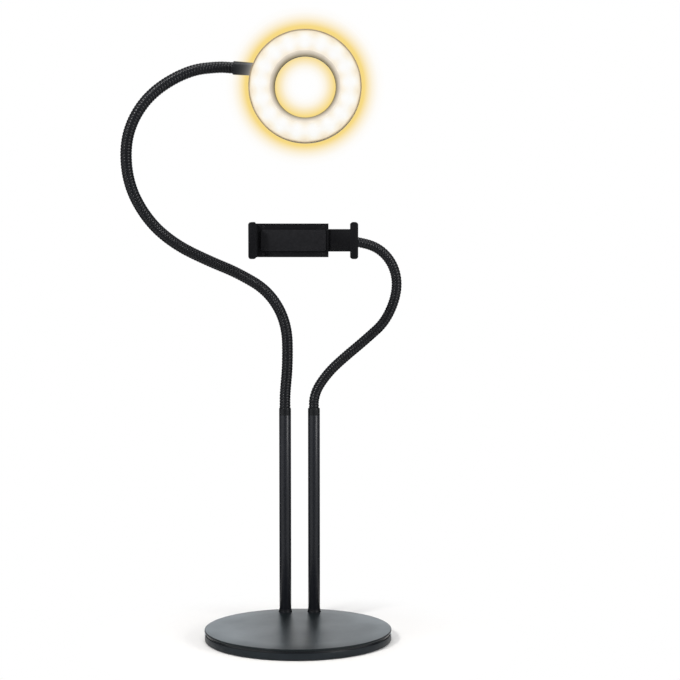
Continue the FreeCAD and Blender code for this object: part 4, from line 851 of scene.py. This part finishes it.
def blend_over(obj, station, samples, lengths):
    """Finds the neck's direction at a station and bakes the piece's place into its mesh."""
    joint = JOINTS[station]
    centre = Vector(joint["pos_m"])
    here = length_at(samples, lengths, centre)
    ahead = point_at(samples, lengths, here + MM) - point_at(samples, lengths, here - MM)
    ahead.normalize()
    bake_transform(obj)


class Neck:
    """One neck's measures: its route in the frame, its stations and the sleeve at its end."""

    def __init__(self, name, route, post, ball, direction, sleeve_length, stations):
        self.name, self.direction, self.stations = name, direction, stations
        self.sleeve_length = sleeve_length
        self.face = ball - direction * STUD_EXPOSED * MM
        end = self.face - direction * (sleeve_length - SLEEVE_INSERT) * MM
        foot = Vector((post.x, post.y, FERRULE_TOP))
        self.points = [foot + Vector(p) * MM for p in route]
        self.points += [end - direction * (SLEEVE_INSERT + 1) * MM, end]

    @property
    def radius(self):
        return getattr(sizes(), self.name + "_neck_radius")

    @property
    def cup(self):
        """Radius in millimetres of the cups that hold the neck's ends."""
        return self.radius / MM + 0.05

    def wind(self):
        """Makes the coil and its liner in one piece per station, cut at whole turns."""
        line, samples, lengths = line_through(self.points)
        turns = round(lengths[-1] / sizes().coil_pitch) - 1
        pitch = lengths[-1] / (turns + 1)
        at = [length_at(samples, lengths, Vector(JOINTS[s]["pos_m"])) for s in self.stations]
        marks = [0] + [round((a + b) / 2 / pitch) for a, b in zip(at, at[1:])] + [turns]
        nodes = numbered(self.name + "_neck", len(self.stations) + 1)
        for i, station in enumerate(self.stations):
            first, last = marks[i] * pitch, marks[i + 1] * pitch
            coil = wound(first, marks[i + 1] - marks[i], pitch, self.radius)
            liner = tube(first, last + (pitch if i == len(self.stations) - 1 else 0),
                         self.radius - sizes().coil_groove - 0.0002, bore=0.0024, sides=20)
            pick(coil, liner)
            bpy.ops.object.join()
            bend_along(coil, line)
            dress(coil, "%s_neck_coil_%d" % (self.name, i + 1),
                  *(nodes if i == 0 else nodes[i:i + 2]), angle=60)
            blend_over(coil, station, samples, lengths)
        bpy.data.objects.remove(line)


LIGHT_NECK = Neck("light", LIGHT_ROUTE, LIGHT_POST, LIGHT_BALL, LIGHT_END,
                  LIGHT_SLEEVE_LENGTH, LIGHT_STATIONS)
PHONE_NECK = Neck("phone", PHONE_ROUTE, PHONE_POST, PHONE_BALL, FRONT,
                  PHONE_SLEEVE_LENGTH, PHONE_STATIONS)


class STAND_OT_light_neck(bpy.types.Operator):
    """Wind the light's gooseneck, which bends at four stations"""
    bl_idname = "stand.light_neck"
    bl_label = "Light's neck"

    def execute(self, context):
        LIGHT_NECK.wind()
        return {"FINISHED"}


class STAND_OT_phone_neck(bpy.types.Operator):
    """Wind the phone clamp's gooseneck, which bends at two stations"""
    bl_idname = "stand.phone_neck"
    bl_label = "Clamp's neck"

    def execute(self, context):
        PHONE_NECK.wind()
        return {"FINISHED"}


def lead_along(points, length=None, step=0.003):
    """A run of the lead through the points."""
    line, _, lengths = line_through(points)
    piece = tube(0, length or lengths[-1], sizes().lead_radius, step)
    bend_along(piece, line)
    bpy.data.objects.remove(line)
    return piece


class STAND_OT_lead(bpy.types.Operator):
    """Lay the two-core lead from the outlet to the ring, inside the post and the neck"""
    bl_idname = "stand.lead"
    bl_label = "Lead"

    def execute(self, context):
        neck, outlet = LIGHT_NECK, middle("cable_grommet")
        outlet.x, outlet.y = LIGHT_POST.x, LIGHT_POST.y
        start = Vector((outlet.x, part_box("cable_grommet")[0].y, outlet.z))
        line, samples, lengths = line_through(
            [start, outlet, outlet + UP * 6 * MM, outlet + UP * 60 * MM] + neck.points[:-1]
            + [neck.face - neck.direction * MM])
        at = [length_at(samples, lengths, Vector(JOINTS[s]["pos_m"])) for s in neck.stations]
        marks = [0.0] + [(a + b) / 2 for a, b in zip(at, at[1:])] + [lengths[-1]]
        for i, station in enumerate(neck.stations):
            piece = tube(marks[i], marks[i + 1], sizes().lead_radius, 0.0035)
            bend_along(piece, line)
            dress(piece, "lead_%d" % (i + 1), "light_lead")
            blend_over(piece, station, samples, lengths)
        bpy.data.objects.remove(line)
        in_stud = lead_along([neck.face - LIGHT_END * MM, LIGHT_BALL,
                              LIGHT_BALL + LIGHT_END * MM], 11 * MM)
        place(in_stud, "lead_in_stud", "ring_stud", "light_lead")
        plug = middle("lead_connector")
        plug.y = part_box("lead_connector")[1].y
        turn = Vector((plug.x, LIGHT_BALL.y, plug.z))
        in_ring = lead_along([LIGHT_BALL, LIGHT_BALL.lerp(turn, 0.55), turn,
                              turn.lerp(plug, 0.3), plug], step=0.0012)
        dress(in_ring, "lead_in_ring", "light_lead")
        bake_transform(in_ring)
        return {"FINISHED"}


# ---------------------------------------------------------------- base and posts
class STAND_OT_base(bpy.types.Operator):
    """Turn the base's cover, pan and foot pad, with their bosses and holes"""
    bl_idname = "stand.base"
    bl_label = "Base"

    def execute(self, context):
        outline = [(0, 8.2), (74.7, 8.2), (74.7, 7.8), (76.9, 7.8)]
        outline += arc((76.9, 8.4), 0.6, -90, 0) + [(77.5, 9)]
        outline += arc((76.9, 9), 0.6, 0, 90) + [(60, 9.6), (30, 9.6), (0, 9.6)]
        cover = lathe(outline, 224)
        for spot in BASE_SCREWS:
            grow(cover, peg(3.2, spot, UP, 2.2, 8.4))
            cut(cover, peg(1.25, spot, UP, 2, 6.5, 24))
        for foot in POST_FEET:
            cut(cover, peg(3.3, foot, UP, 5, 12))
        place(cover, "cover_disc", "base", "base_cover")

        pan = lathe([(0, 0.6), (77, 0.6), (77.3, 0.9), (77.3, 6.2), (76.5, 6.2), (76.5, 7.8),
                     (74.7, 7.8), (74.7, 2.2), (0, 2.2)], 224)
        for spot in BASE_SCREWS:
            cut(pan, peg(2.59, spot, UP, 0.55, 2.3, 32, 1.17))
        soften(pan, 0.12)
        place(pan, "pan_tray", "base", "base_pan")
        pan.data.materials.append(band_finish().material)
        for face in pan.data.polygons:
            in_band = face.center.xy.length > 76.4 * MM and face.center.z > 6.1 * MM
            face.material_index = int(in_band)

        outline = [(0, 0.2), (20, 0.2), (20.3, 0), (46, 0), (46.3, 0.2), (57.7, 0.2),
                   (58, 0), (75.2, 0)] + arc((75.2, 0.3), 0.3, -90, 0)
        place(lathe(outline + [(75.5, 0.6), (0, 0.6)], 160), "pad_disc", "base", "foot_pad")
        return {"FINISHED"}


class STAND_OT_base_fixings(bpy.types.Operator):
    """Make the base's countersunk screws and the posts' bolts"""
    bl_idname = "stand.base_fixings"
    bl_label = "Base fixings"

    def execute(self, context):
        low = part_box("base_screws")[0].z
        screws(numbered("pan_screw", 4), [spot + UP * low for spot in BASE_SCREWS], "base",
               "base_screws", UP, 2.5, 1.6, 1.2, 5.6, sunk=True)
        low, high = (corner.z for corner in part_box("post_bolts"))
        screws(numbered("post_bolt", 2), [foot + UP * low for foot in POST_FEET], "base",
               "post_bolts", UP, 5.0, 2.6, 3.0, (high - low) / MM, 1.0, "hex")
        return {"FINISHED"}


class STAND_OT_posts(bpy.types.Operator):
    """Make the two posts with their trim rings, ferrules and grub screws"""
    bl_idname = "stand.posts"
    bl_label = "Posts"

    def execute(self, context):
        low, high = (corner.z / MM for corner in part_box("phone_post"))
        grub_z, outlet_z = middle("post_grub_screws").z, middle("cable_grommet").z
        top, base = FERRULE_TOP / MM, BASE_TOP / MM
        for neck, foot in zip((LIGHT_NECK, PHONE_NECK), POST_FEET):
            post = lathe([(POST_BORE, low), (POST_RADIUS, low), (POST_RADIUS, high),
                          (POST_BORE, high)], 72, foot)
            cut(post, peg(GRUB_HOLE, foot + UP * grub_z, REAR, 2, 7, 32))
            if neck is LIGHT_NECK:
                cut(post, peg(2.2, foot + UP * outlet_z, REAR, 2, 7))
            soften(post, 0.12)
            place(post, neck.name + "_tube", "base", neck.name + "_post")
            outline = [(1.6, top - 18), (4.25, top - 18), (4.25, top - 6),
                       (POST_RADIUS, top - 6), (POST_RADIUS, top - 0.3)]
            outline += arc((POST_RADIUS - 0.3, top - 0.3), 0.3, 0, 90)
            outline += [(neck.cup, top), (neck.cup, top - 4.5), (1.6, top - 4.5)]
            ferrule = lathe(outline, 72, foot)
            cut(ferrule, peg(GRUB_HOLE, foot + UP * grub_z, REAR, 2.65, 7, 32))
            soften(ferrule, 0.1)
            place(ferrule, neck.name + "_neck_cup", "base", neck.name + "_neck_ferrule")
        trim = lathe([(5.15, base), (5.8, base), (5.8, base + 0.35), (5.6, base + 0.65),
                      (5.46, base + 1.1), (5.38, base + 1.7), (5.34, base + 2.4),
                      (5.3, base + 2.5), (5.15, base + 2.5)], 72, POST_FEET[0])
        for side, one in zip(("light", "phone"), copies(trim, POST_FEET)):
            place(one, side + "_foot_trim", "base", "post_foot_rings")
        moulding("cable_grommet", "outlet_bush", "base", 0.2)
        low, high = (corner.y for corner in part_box("post_grub_screws"))
        screws(("light_grub_screw", "phone_grub_screw"),
               [Vector((foot.x, high, grub_z)) for foot in POST_FEET], "base",
               "post_grub_screws", FRONT, 1.5, 0.6, 1.5, (high - low) / MM, 0.5, "hex")
        return {"FINISHED"}


def sleeve_piece(neck):
    """A neck's end sleeve with its rounded ends and the cup that the neck stands in."""
    length = neck.sleeve_length
    outline = [(2.45, 0), (5.0, 0)] + arc((5.0, -0.5), 0.5, 90, 0)
    outline += [(5.5, 0.5 - length)] + arc((5.0, 0.5 - length), 0.5, 0, -90)
    outline += [(neck.cup, -length), (neck.cup, SLEEVE_INSERT - length),
                (2.45, SLEEVE_INSERT - length)]
    return lathe(outline, 80, neck.face, neck.direction)


def stud_piece(neck, ball, bore):
    """A stud with a grooved tail, a flange, a waisted neck and its ball."""
    tail = SLEEVE_INSERT - neck.sleeve_length + 1.0
    waist = 1.9
    root = STUD_EXPOSED - (ball ** 2 - waist ** 2) ** 0.5
    outline = [(bore, tail), (2.1, tail), (2.4, tail + 0.3), (2.4, -4.5), (1.95, -4.5),
               (1.95, -1.9), (2.4, -1.9), (2.4, 0.05), (3.1, 0.05), (3.3, 0.25), (3.3, 1.05),
               (3.1, 1.25), (2.3, 1.25), (1.95, 1.7), (waist, 2.4), (waist, root)]
    outline += arc((0, STUD_EXPOSED), ball, 57.3 * waist / ball - 90,
                   90 - 57.3 * bore / ball, 20)
    if bore == 0:
        outline[-1] = (0, outline[-1][1])
    return lathe(outline, 64, neck.face, neck.direction)


class STAND_OT_neck_ends(bpy.types.Operator):
    """Make the sleeves, set screws and ball studs at the necks' ends"""
    bl_idname = "stand.neck_ends"
    bl_label = "Neck ends"

    def execute(self, context):
        for neck, ball, bore, arm, stud in (
                (LIGHT_NECK, 4.2, 1.15, "light_arm_4", "ring_stud"),
                (PHONE_NECK, 5.0, 0, "phone_arm_2", "phone_stud")):
            base = neck.face - neck.direction * 3.2 * MM
            out = (middle(neck.name + "_sleeve_screw") - base).normalized()
            sleeve = cut(sleeve_piece(neck), peg(1.15, base, out, 2, 7, 32))
            place(sleeve, neck.name + "_end_sleeve", arm, neck.name + "_sleeve")
            pin = screw(base + out * 5.3 * MM, -out, 1.1, 0.6, 1.1, 3.3, 0.4, "hex")
            place(pin, neck.name + "_set_screw", arm, neck.name + "_sleeve_screw")
            place(stud_piece(neck, ball, bore), neck.name + "_stud", stud,
                  neck.name + "_ball_stud")
        return {"FINISHED"}


# ---------------------------------------------------------------- ring
def ring_lathe(outline, segments=192):
    return lathe(outline, segments, RING_BACK, FRONT)


def ring_spot(radius, turn, height=0.0):
    """A point of the ring by its radius and turn, at a height forward from its back."""
    out = RIGHT * cos(radians(turn)) + UP * sin(radians(turn))
    return RING_BACK + (out * radius + FRONT * height) * MM


class STAND_OT_ring_front(bpy.types.Operator):
    """Turn the ring's front bezel with its screw columns, the inner bezel and the diffuser"""
    bl_idname = "stand.ring_front"
    bl_label = "Ring's front"

    def execute(self, context):
        outline = [(RING_RADIUS, 7), (RING_RADIUS, RING_DEPTH - 0.45)]
        outline += arc((RING_RADIUS - 0.45, RING_DEPTH - 0.45), 0.45, 0, 90, 4)
        bezel = ring_lathe(outline + [
            (44.35, 18), (44.2, 17.85), (44.2, 16.1), (42.4, 16.1), (42.4, 4.5), (43.35, 4.5),
            (43.35, 7)])
        corner = ring_lathe([(40, 0), (45.5, 0), (45.5, 5), (43.35, 5)]
                            + arc((40, 5), 3.35, 0, -62) + [(40, 1.8)], 96)
        for turn, outside in zip(COVER_SCREW_TURNS, copies(corner, [Vector()] * 4)):
            spot = ring_spot(COVER_SCREW_CIRCLE, turn)
            grow(bezel, cut(peg(2, spot, FRONT, 2.05, 8.5, 36), outside,
                            peg(0.95, spot, FRONT, 1, 6.3, 24)))
        place(bezel, "front_rim", "ring_head", "ring_front_bezel", rim_painted_light_finish().material)
        outline = [(24.4, 8.5), (24.4, 8.9), (27.9, 17.7)] + arc((28.3, 17.55), 0.45, 160, 90, 4)
        outline += [(28.7, 18), (28.8, 17.9), (28.8, 16.1), (30, 16.1), (30, 15.1), (28.8, 15.1),
                    (26.75, 9.2), (26.75, 6.5), (26.05, 6.5), (26.05, 8.5)]
        place(ring_lathe(outline), "hole_bevel", "ring_head", "ring_inner_bezel")
        crown = [(OPAL_INNER + (OPAL_OUTER - OPAL_INNER) * i / 12,
                  RING_DEPTH - 0.5 + 0.5 * sin(pi * i / 12)) for i in range(12, -1, -1)]
        place(ring_lathe([(OPAL_INNER, 16.1), (OPAL_OUTER, 16.1)] + crown), "opal_ring",
              "ring_head", "ring_diffuser")
        return {"FINISHED"}


class STAND_OT_ring_rear(bpy.types.Operator):
    """Round off the ring's rear cover and socket cap, and make the screws that hold them"""
    bl_idname = "stand.ring_rear"
    bl_label = "Ring's rear"

    def execute(self, context):
        moulding("ring_rear_cover", "rear_casing", "ring_head", 0.25)
        moulding("ring_socket_cap", "socket_cap", "ring_head", 0.25)
        screws(numbered("rear_screw", 4),
               [ring_spot(COVER_SCREW_CIRCLE, turn) for turn in COVER_SCREW_TURNS],
               "ring_head", "ring_cover_screws", FRONT, 1.7, 1, 0.9, 6, 0.55)
        screws(numbered("socket_screw", 2),
               [LIGHT_BALL + (UP * height + REAR * 6.4) * MM for height in (9.6, -9.6)],
               "ring_head", "socket_screws", FRONT, 2.1, 1.6, 1.1, 11.4, 0.6)
        screws(numbered("board_screw", 3),
               [ring_spot(LED_CIRCLE, 90 + 360 / LED_COUNT * (count + 0.5), 10.7)
                for count in BOARD_SCREW_COUNTS],
               "ring_head", "board_screws", REAR, 1.7, 1.1, 0.9, 7.3, 0.55)
        return {"FINISHED"}


# ---------------------------------------------------------------- phone clamp
def clamp_spot(x, y, z):
    """A point of the clamp: to the right, up, and forward from the housing's back."""
    return CLAMP_BACK + (RIGHT * x + UP * y + FRONT * z) * MM


class STAND_OT_clamp(bpy.types.Operator):
    """Round off the clamp's mouldings, pads and lock nut, and make its screws"""
    bl_idname = "stand.clamp"
    bl_label = "Phone clamp"

    def execute(self, context):
        for node, name, body, width in (
                ("clamp_body", "clamp_housing", "clamp", 0.3),
                ("clamp_cover", "clamp_plate", "clamp", 0.3),
                ("clamp_slider", "sliding_jaw", "slider", 0.3),
                ("clamp_face_pad", "back_pad", "clamp", 0.35),
                ("fixed_jaw_pad", "left_grip", "clamp", 0.15),
                ("sliding_jaw_pad", "right_grip", "slider", 0.15),
                ("clamp_lock_nut", "lock_knob", "lock_nut", 0.2)):
            moulding(node, name, body, width)
        screws(numbered("plate_screw", 4),
               [clamp_spot(x, y, 10) for x in (-32.4, 16) for y in (-11, 11)],
               "clamp", "clamp_cover_screws", REAR, 1.4, 0.9, 0.9, 6, 0.55)
        return {"FINISHED"}


class STAND_OT_springs(bpy.types.Operator):
    """Wind the two tension springs that close the clamp"""
    bl_idname = "stand.springs"
    bl_label = "Springs"

    def execute(self, context):
        low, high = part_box("clamp_springs")
        spots = [clamp_spot(0, y, 5.1) for y in (-4.6, 4.6)]
        start, end = low.x + 0.1 * MM, high.x - 0.1 * MM
        wire = SPRING_WIRE * MM
        bpy.ops.mesh.primitive_circle_add(
            vertices=10, radius=wire, rotation=(pi / 2, 0, 0),
            location=(start - spots[0].x + wire, 0, SPRING_RADIUS * MM - wire))
        coil = settle(bpy.context.object)
        wind(coil, (end - start - 2 * wire) / SPRING_TURNS, SPRING_TURNS, 18)
        coil.location = spots[0]
        settle(coil)
        for name, spot, spring in zip(("lower_spring", "upper_spring"), spots,
                                      copies(coil, spots)):
            dress(spring, name, "clamp_springs", angle=60)
            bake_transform(spring)
        return {"FINISHED"}


# ---------------------------------------------------------------- carried-over nodes
class STAND_OT_finishes(bpy.types.Operator):
    """Give every node that stays its procedural material"""
    bl_idname = "stand.finishes"
    bl_label = "Finishes"

    def execute(self, context):
        for name, node in frame["nodes"].items():
            node.data.materials.clear()
            node.data.materials.append(finish(NODE_SLOTS[name]))
        return {"FINISHED"}


# ---------------------------------------------------------------- stage
def white_rays(graph):
    """A socket that is 1 for rays that should see the white background."""
    rays = graph.node("ShaderNodeLightPath").outputs
    seen = graph.math("MAXIMUM", rays["Is Camera Ray"], rays["Is Glossy Ray"])
    return graph.math("MAXIMUM", seen, rays["Is Transmission Ray"])


def room_tone(graph, direction):
    """Strength of the white surroundings by direction. It is 1 for the camera. Reflections
    see a room that is dark behind the camera and at both rear corners."""
    way = graph.node("ShaderNodeSeparateXYZ", {0: direction}).outputs
    turn = graph.math("ABSOLUTE", graph.math(
        "ARCTAN2", way["X"], graph.math("MULTIPLY", way["Y"], -1)))
    tone = graph.ramp(graph.math("DIVIDE", turn, pi),
                      [(angle / 180, (tone,) * 3) for angle, tone in ROOM_TONES])
    rays = graph.node("ShaderNodeLightPath").outputs
    lack = graph.math("MULTIPLY", graph.math("SUBTRACT", 1, tone), rays["Is Glossy Ray"])
    return graph.math("SUBTRACT", 1, lack)


class STAND_OT_stage(bpy.types.Operator):
    """Set up the floor, the pale surroundings, the soft lamps, the halo and the camera"""
    bl_idname = "stand.stage"
    bl_label = "Stage"

    def execute(self, context):
        scene = context.scene
        scene.view_settings.view_transform = "Standard"
        self.surroundings(scene)
        self.floor()
        self.glow_disc("halo_outside", (-0.29, -24.0, 1.08), 43.6, 64.2, HALO_OUTSIDE, True)
        self.glow_disc("halo_inside", (-0.32, -22.5, 1.15), 6.0, 26.2, HALO_INSIDE)
        for name, spot, aim, size, power, colour in LAMPS:
            lamp = bpy.data.lights.new(name, "AREA")
            lamp.shape = "DISK"
            lamp.size = size
            lamp.energy = power
            lamp.color = colour
            obj = self.add(scene, name, lamp, spot)
            obj.rotation_euler = (Vector(aim) - Vector(spot)).to_track_quat("-Z", "Y").to_euler()
        data = bpy.data.cameras.new("Camera")
        data.sensor_width = 36
        data.lens = CAMERA_LENS
        data.clip_end = 50
        scene.camera = self.add(scene, "Camera", data, CAMERA_SPOT)
        scene.camera.rotation_euler = (radians(90 - CAMERA_DIP), 0, 0)
        return {"FINISHED"}

    def add(self, scene, name, data, spot):
        obj = bpy.data.objects.new(name, data)
        obj.location = spot
        scene.collection.objects.link(obj)
        return obj

    def surroundings(self, scene):
        scene.world = bpy.data.worlds.new("Pale room")
        scene.world.use_nodes = True
        graph = Graph(scene.world.node_tree)
        room = graph.tree.nodes["Background"]
        graph.feed(room, {"Color": (0.9, 0.93, 1.0, 1), "Strength": ROOM_LIGHT})
        direction = graph.node("ShaderNodeTexCoord").outputs["Generated"]
        white = graph.node("ShaderNodeBackground", {
            "Color": WHITE, "Strength": room_tone(graph, direction)})
        graph.end_with(graph.mix(white_rays(graph), room, white), "World Output")

    def floor(self):
        """A floor that fades from grey, with the stand's shadow, to the white around it."""
        pick()
        bpy.ops.mesh.primitive_plane_add(size=12, location=(0, 0, 0))
        floor = bpy.context.object
        floor.name = "floor"
        made = Finish("Floor", (1, 1, 1), 1.0)
        made.tree.nodes.remove(made.shader)
        plain = made.node("ShaderNodeBsdfDiffuse", {"Color": (0.8, 0.8, 0.8, 1)})
        shown = made.node("ShaderNodeBsdfDiffuse", {"Color": (0.82, 0.80, 0.77, 1)})
        glow = made.node("ShaderNodeEmission", {"Color": WHITE, "Strength": FLOOR_GLOW})
        near = made.node("ShaderNodeAddShader", {0: shown.outputs[0], 1: glow.outputs[0]})
        away = made.node("ShaderNodeVectorMath", {0: made.place}, operation="LENGTH")
        fade = made.node("ShaderNodeMapRange", {
            "Value": away.outputs["Value"], "From Min": FLOOR_FADE[0],
            "From Max": FLOOR_FADE[1]},
            interpolation_type="SMOOTHSTEP")
        white = made.node("ShaderNodeEmission", {
            "Color": WHITE, "Strength": room_tone(made, made.place)})
        seen = made.mix(fade.outputs["Result"], near, white)
        made.end_with(made.mix(white_rays(made), plain, seen))
        floor.data.materials.append(made.material)

    def glow_disc(self, name, shift, inner, outer, strengths, slot=False):
        """A flat ring of warm light round the lit ring or in its hole, whose strength is
        given by its radius in millimetres."""
        centre = Vector((RING_BACK.x, 0, RING_BACK.z)) + Vector(shift) * MM
        made = Finish("Glow " + name, (0, 0, 0), 1.0)
        made.tree.nodes.remove(made.shader)
        share = made.tones(ring_frame(made, centre)[0],
                           [(r, (strength,) * 3) for r, strength in strengths])
        clear = made.node("ShaderNodeBsdfTransparent")
        light = made.node("ShaderNodeEmission", {"Color": (*colours().halo, 1)})
        made.end_with(made.mix(share, clear, light))
        pick()
        bpy.ops.mesh.primitive_circle_add(vertices=96, radius=inner * MM, location=centre,
                                          rotation=(pi / 2, 0, 0))
        disc = bpy.context.object
        disc.name = name
        start_edit(disc)
        bpy.ops.mesh.extrude_edges_move()
        bpy.ops.transform.resize(value=(outer / inner,) * 3, center_override=centre)
        end_edit()
        settle(disc)
        if slot:
            self.cut_slot(disc, centre.y)
        disc.data.materials.append(made.material)
        disc.visible_shadow = disc.visible_diffuse = disc.visible_glossy = False
        disc.parent = frame["bodies"]["ring_head"]

    def cut_slot(self, disc, y):
        """Opens the disc where the sleeve is behind it."""
        depth = (y - CAMERA_SPOT.y) / (LIGHT_BALL.y - CAMERA_SPOT.y)
        centre = CAMERA_SPOT.lerp(LIGHT_BALL, depth)
        side = Vector((-LIGHT_END.z, 0, LIGHT_END.x))
        start_edit(disc)
        for sign in (1, -1):
            bpy.ops.mesh.select_all(action="SELECT")
            bpy.ops.mesh.bisect(plane_co=centre + side * sign * SLOT_HALF * MM, plane_no=side)
        select(disc, "FACE", lambda face: face.center.x < centre.x
               and abs((face.center - centre).dot(side)) < SLOT_HALF * MM)
        bpy.ops.mesh.delete(type="FACE")
        end_edit()


class STAND_PT_pieces(bpy.types.Panel):
    """Lists the pieces that can be built"""
    bl_idname = "STAND_PT_pieces"
    bl_label = "Ring light stand"
    bl_space_type = "VIEW_3D"
    bl_region_type = "UI"
    bl_category = "Ring light"

    def draw(self, context):
        for group in (context.scene.stand_sizes, context.scene.stand_colours):
            box = self.layout.box()
            for name in group.bl_rna.properties.keys():
                if name not in ("rna_type", "name"):
                    box.prop(group, name)
        for operator in STEPS:
            self.layout.operator(operator.bl_idname)


STEPS = (
    STAND_OT_stage, STAND_OT_finishes, STAND_OT_base, STAND_OT_base_fixings, STAND_OT_posts,
    STAND_OT_light_neck, STAND_OT_phone_neck, STAND_OT_lead, STAND_OT_neck_ends,
    STAND_OT_ring_front, STAND_OT_ring_rear, STAND_OT_clamp, STAND_OT_springs,
)
CLASSES = (StandSizes, StandColours, STAND_PT_pieces) + STEPS


def register():
    for cls in CLASSES:
        bpy.utils.register_class(cls)
    bpy.types.Scene.stand_sizes = PointerProperty(type=StandSizes)
    bpy.types.Scene.stand_colours = PointerProperty(type=StandColours)


def unregister():
    del bpy.types.Scene.stand_colours
    del bpy.types.Scene.stand_sizes
    for cls in reversed(CLASSES):
        bpy.utils.unregister_class(cls)


def main():
    register()
    for step in STEPS:
        group, name = step.bl_idname.split(".")
        getattr(getattr(bpy.ops, group), name)()
    pick()
    bpy.context.view_layer.update()


if __name__ == "__main__":
    main()
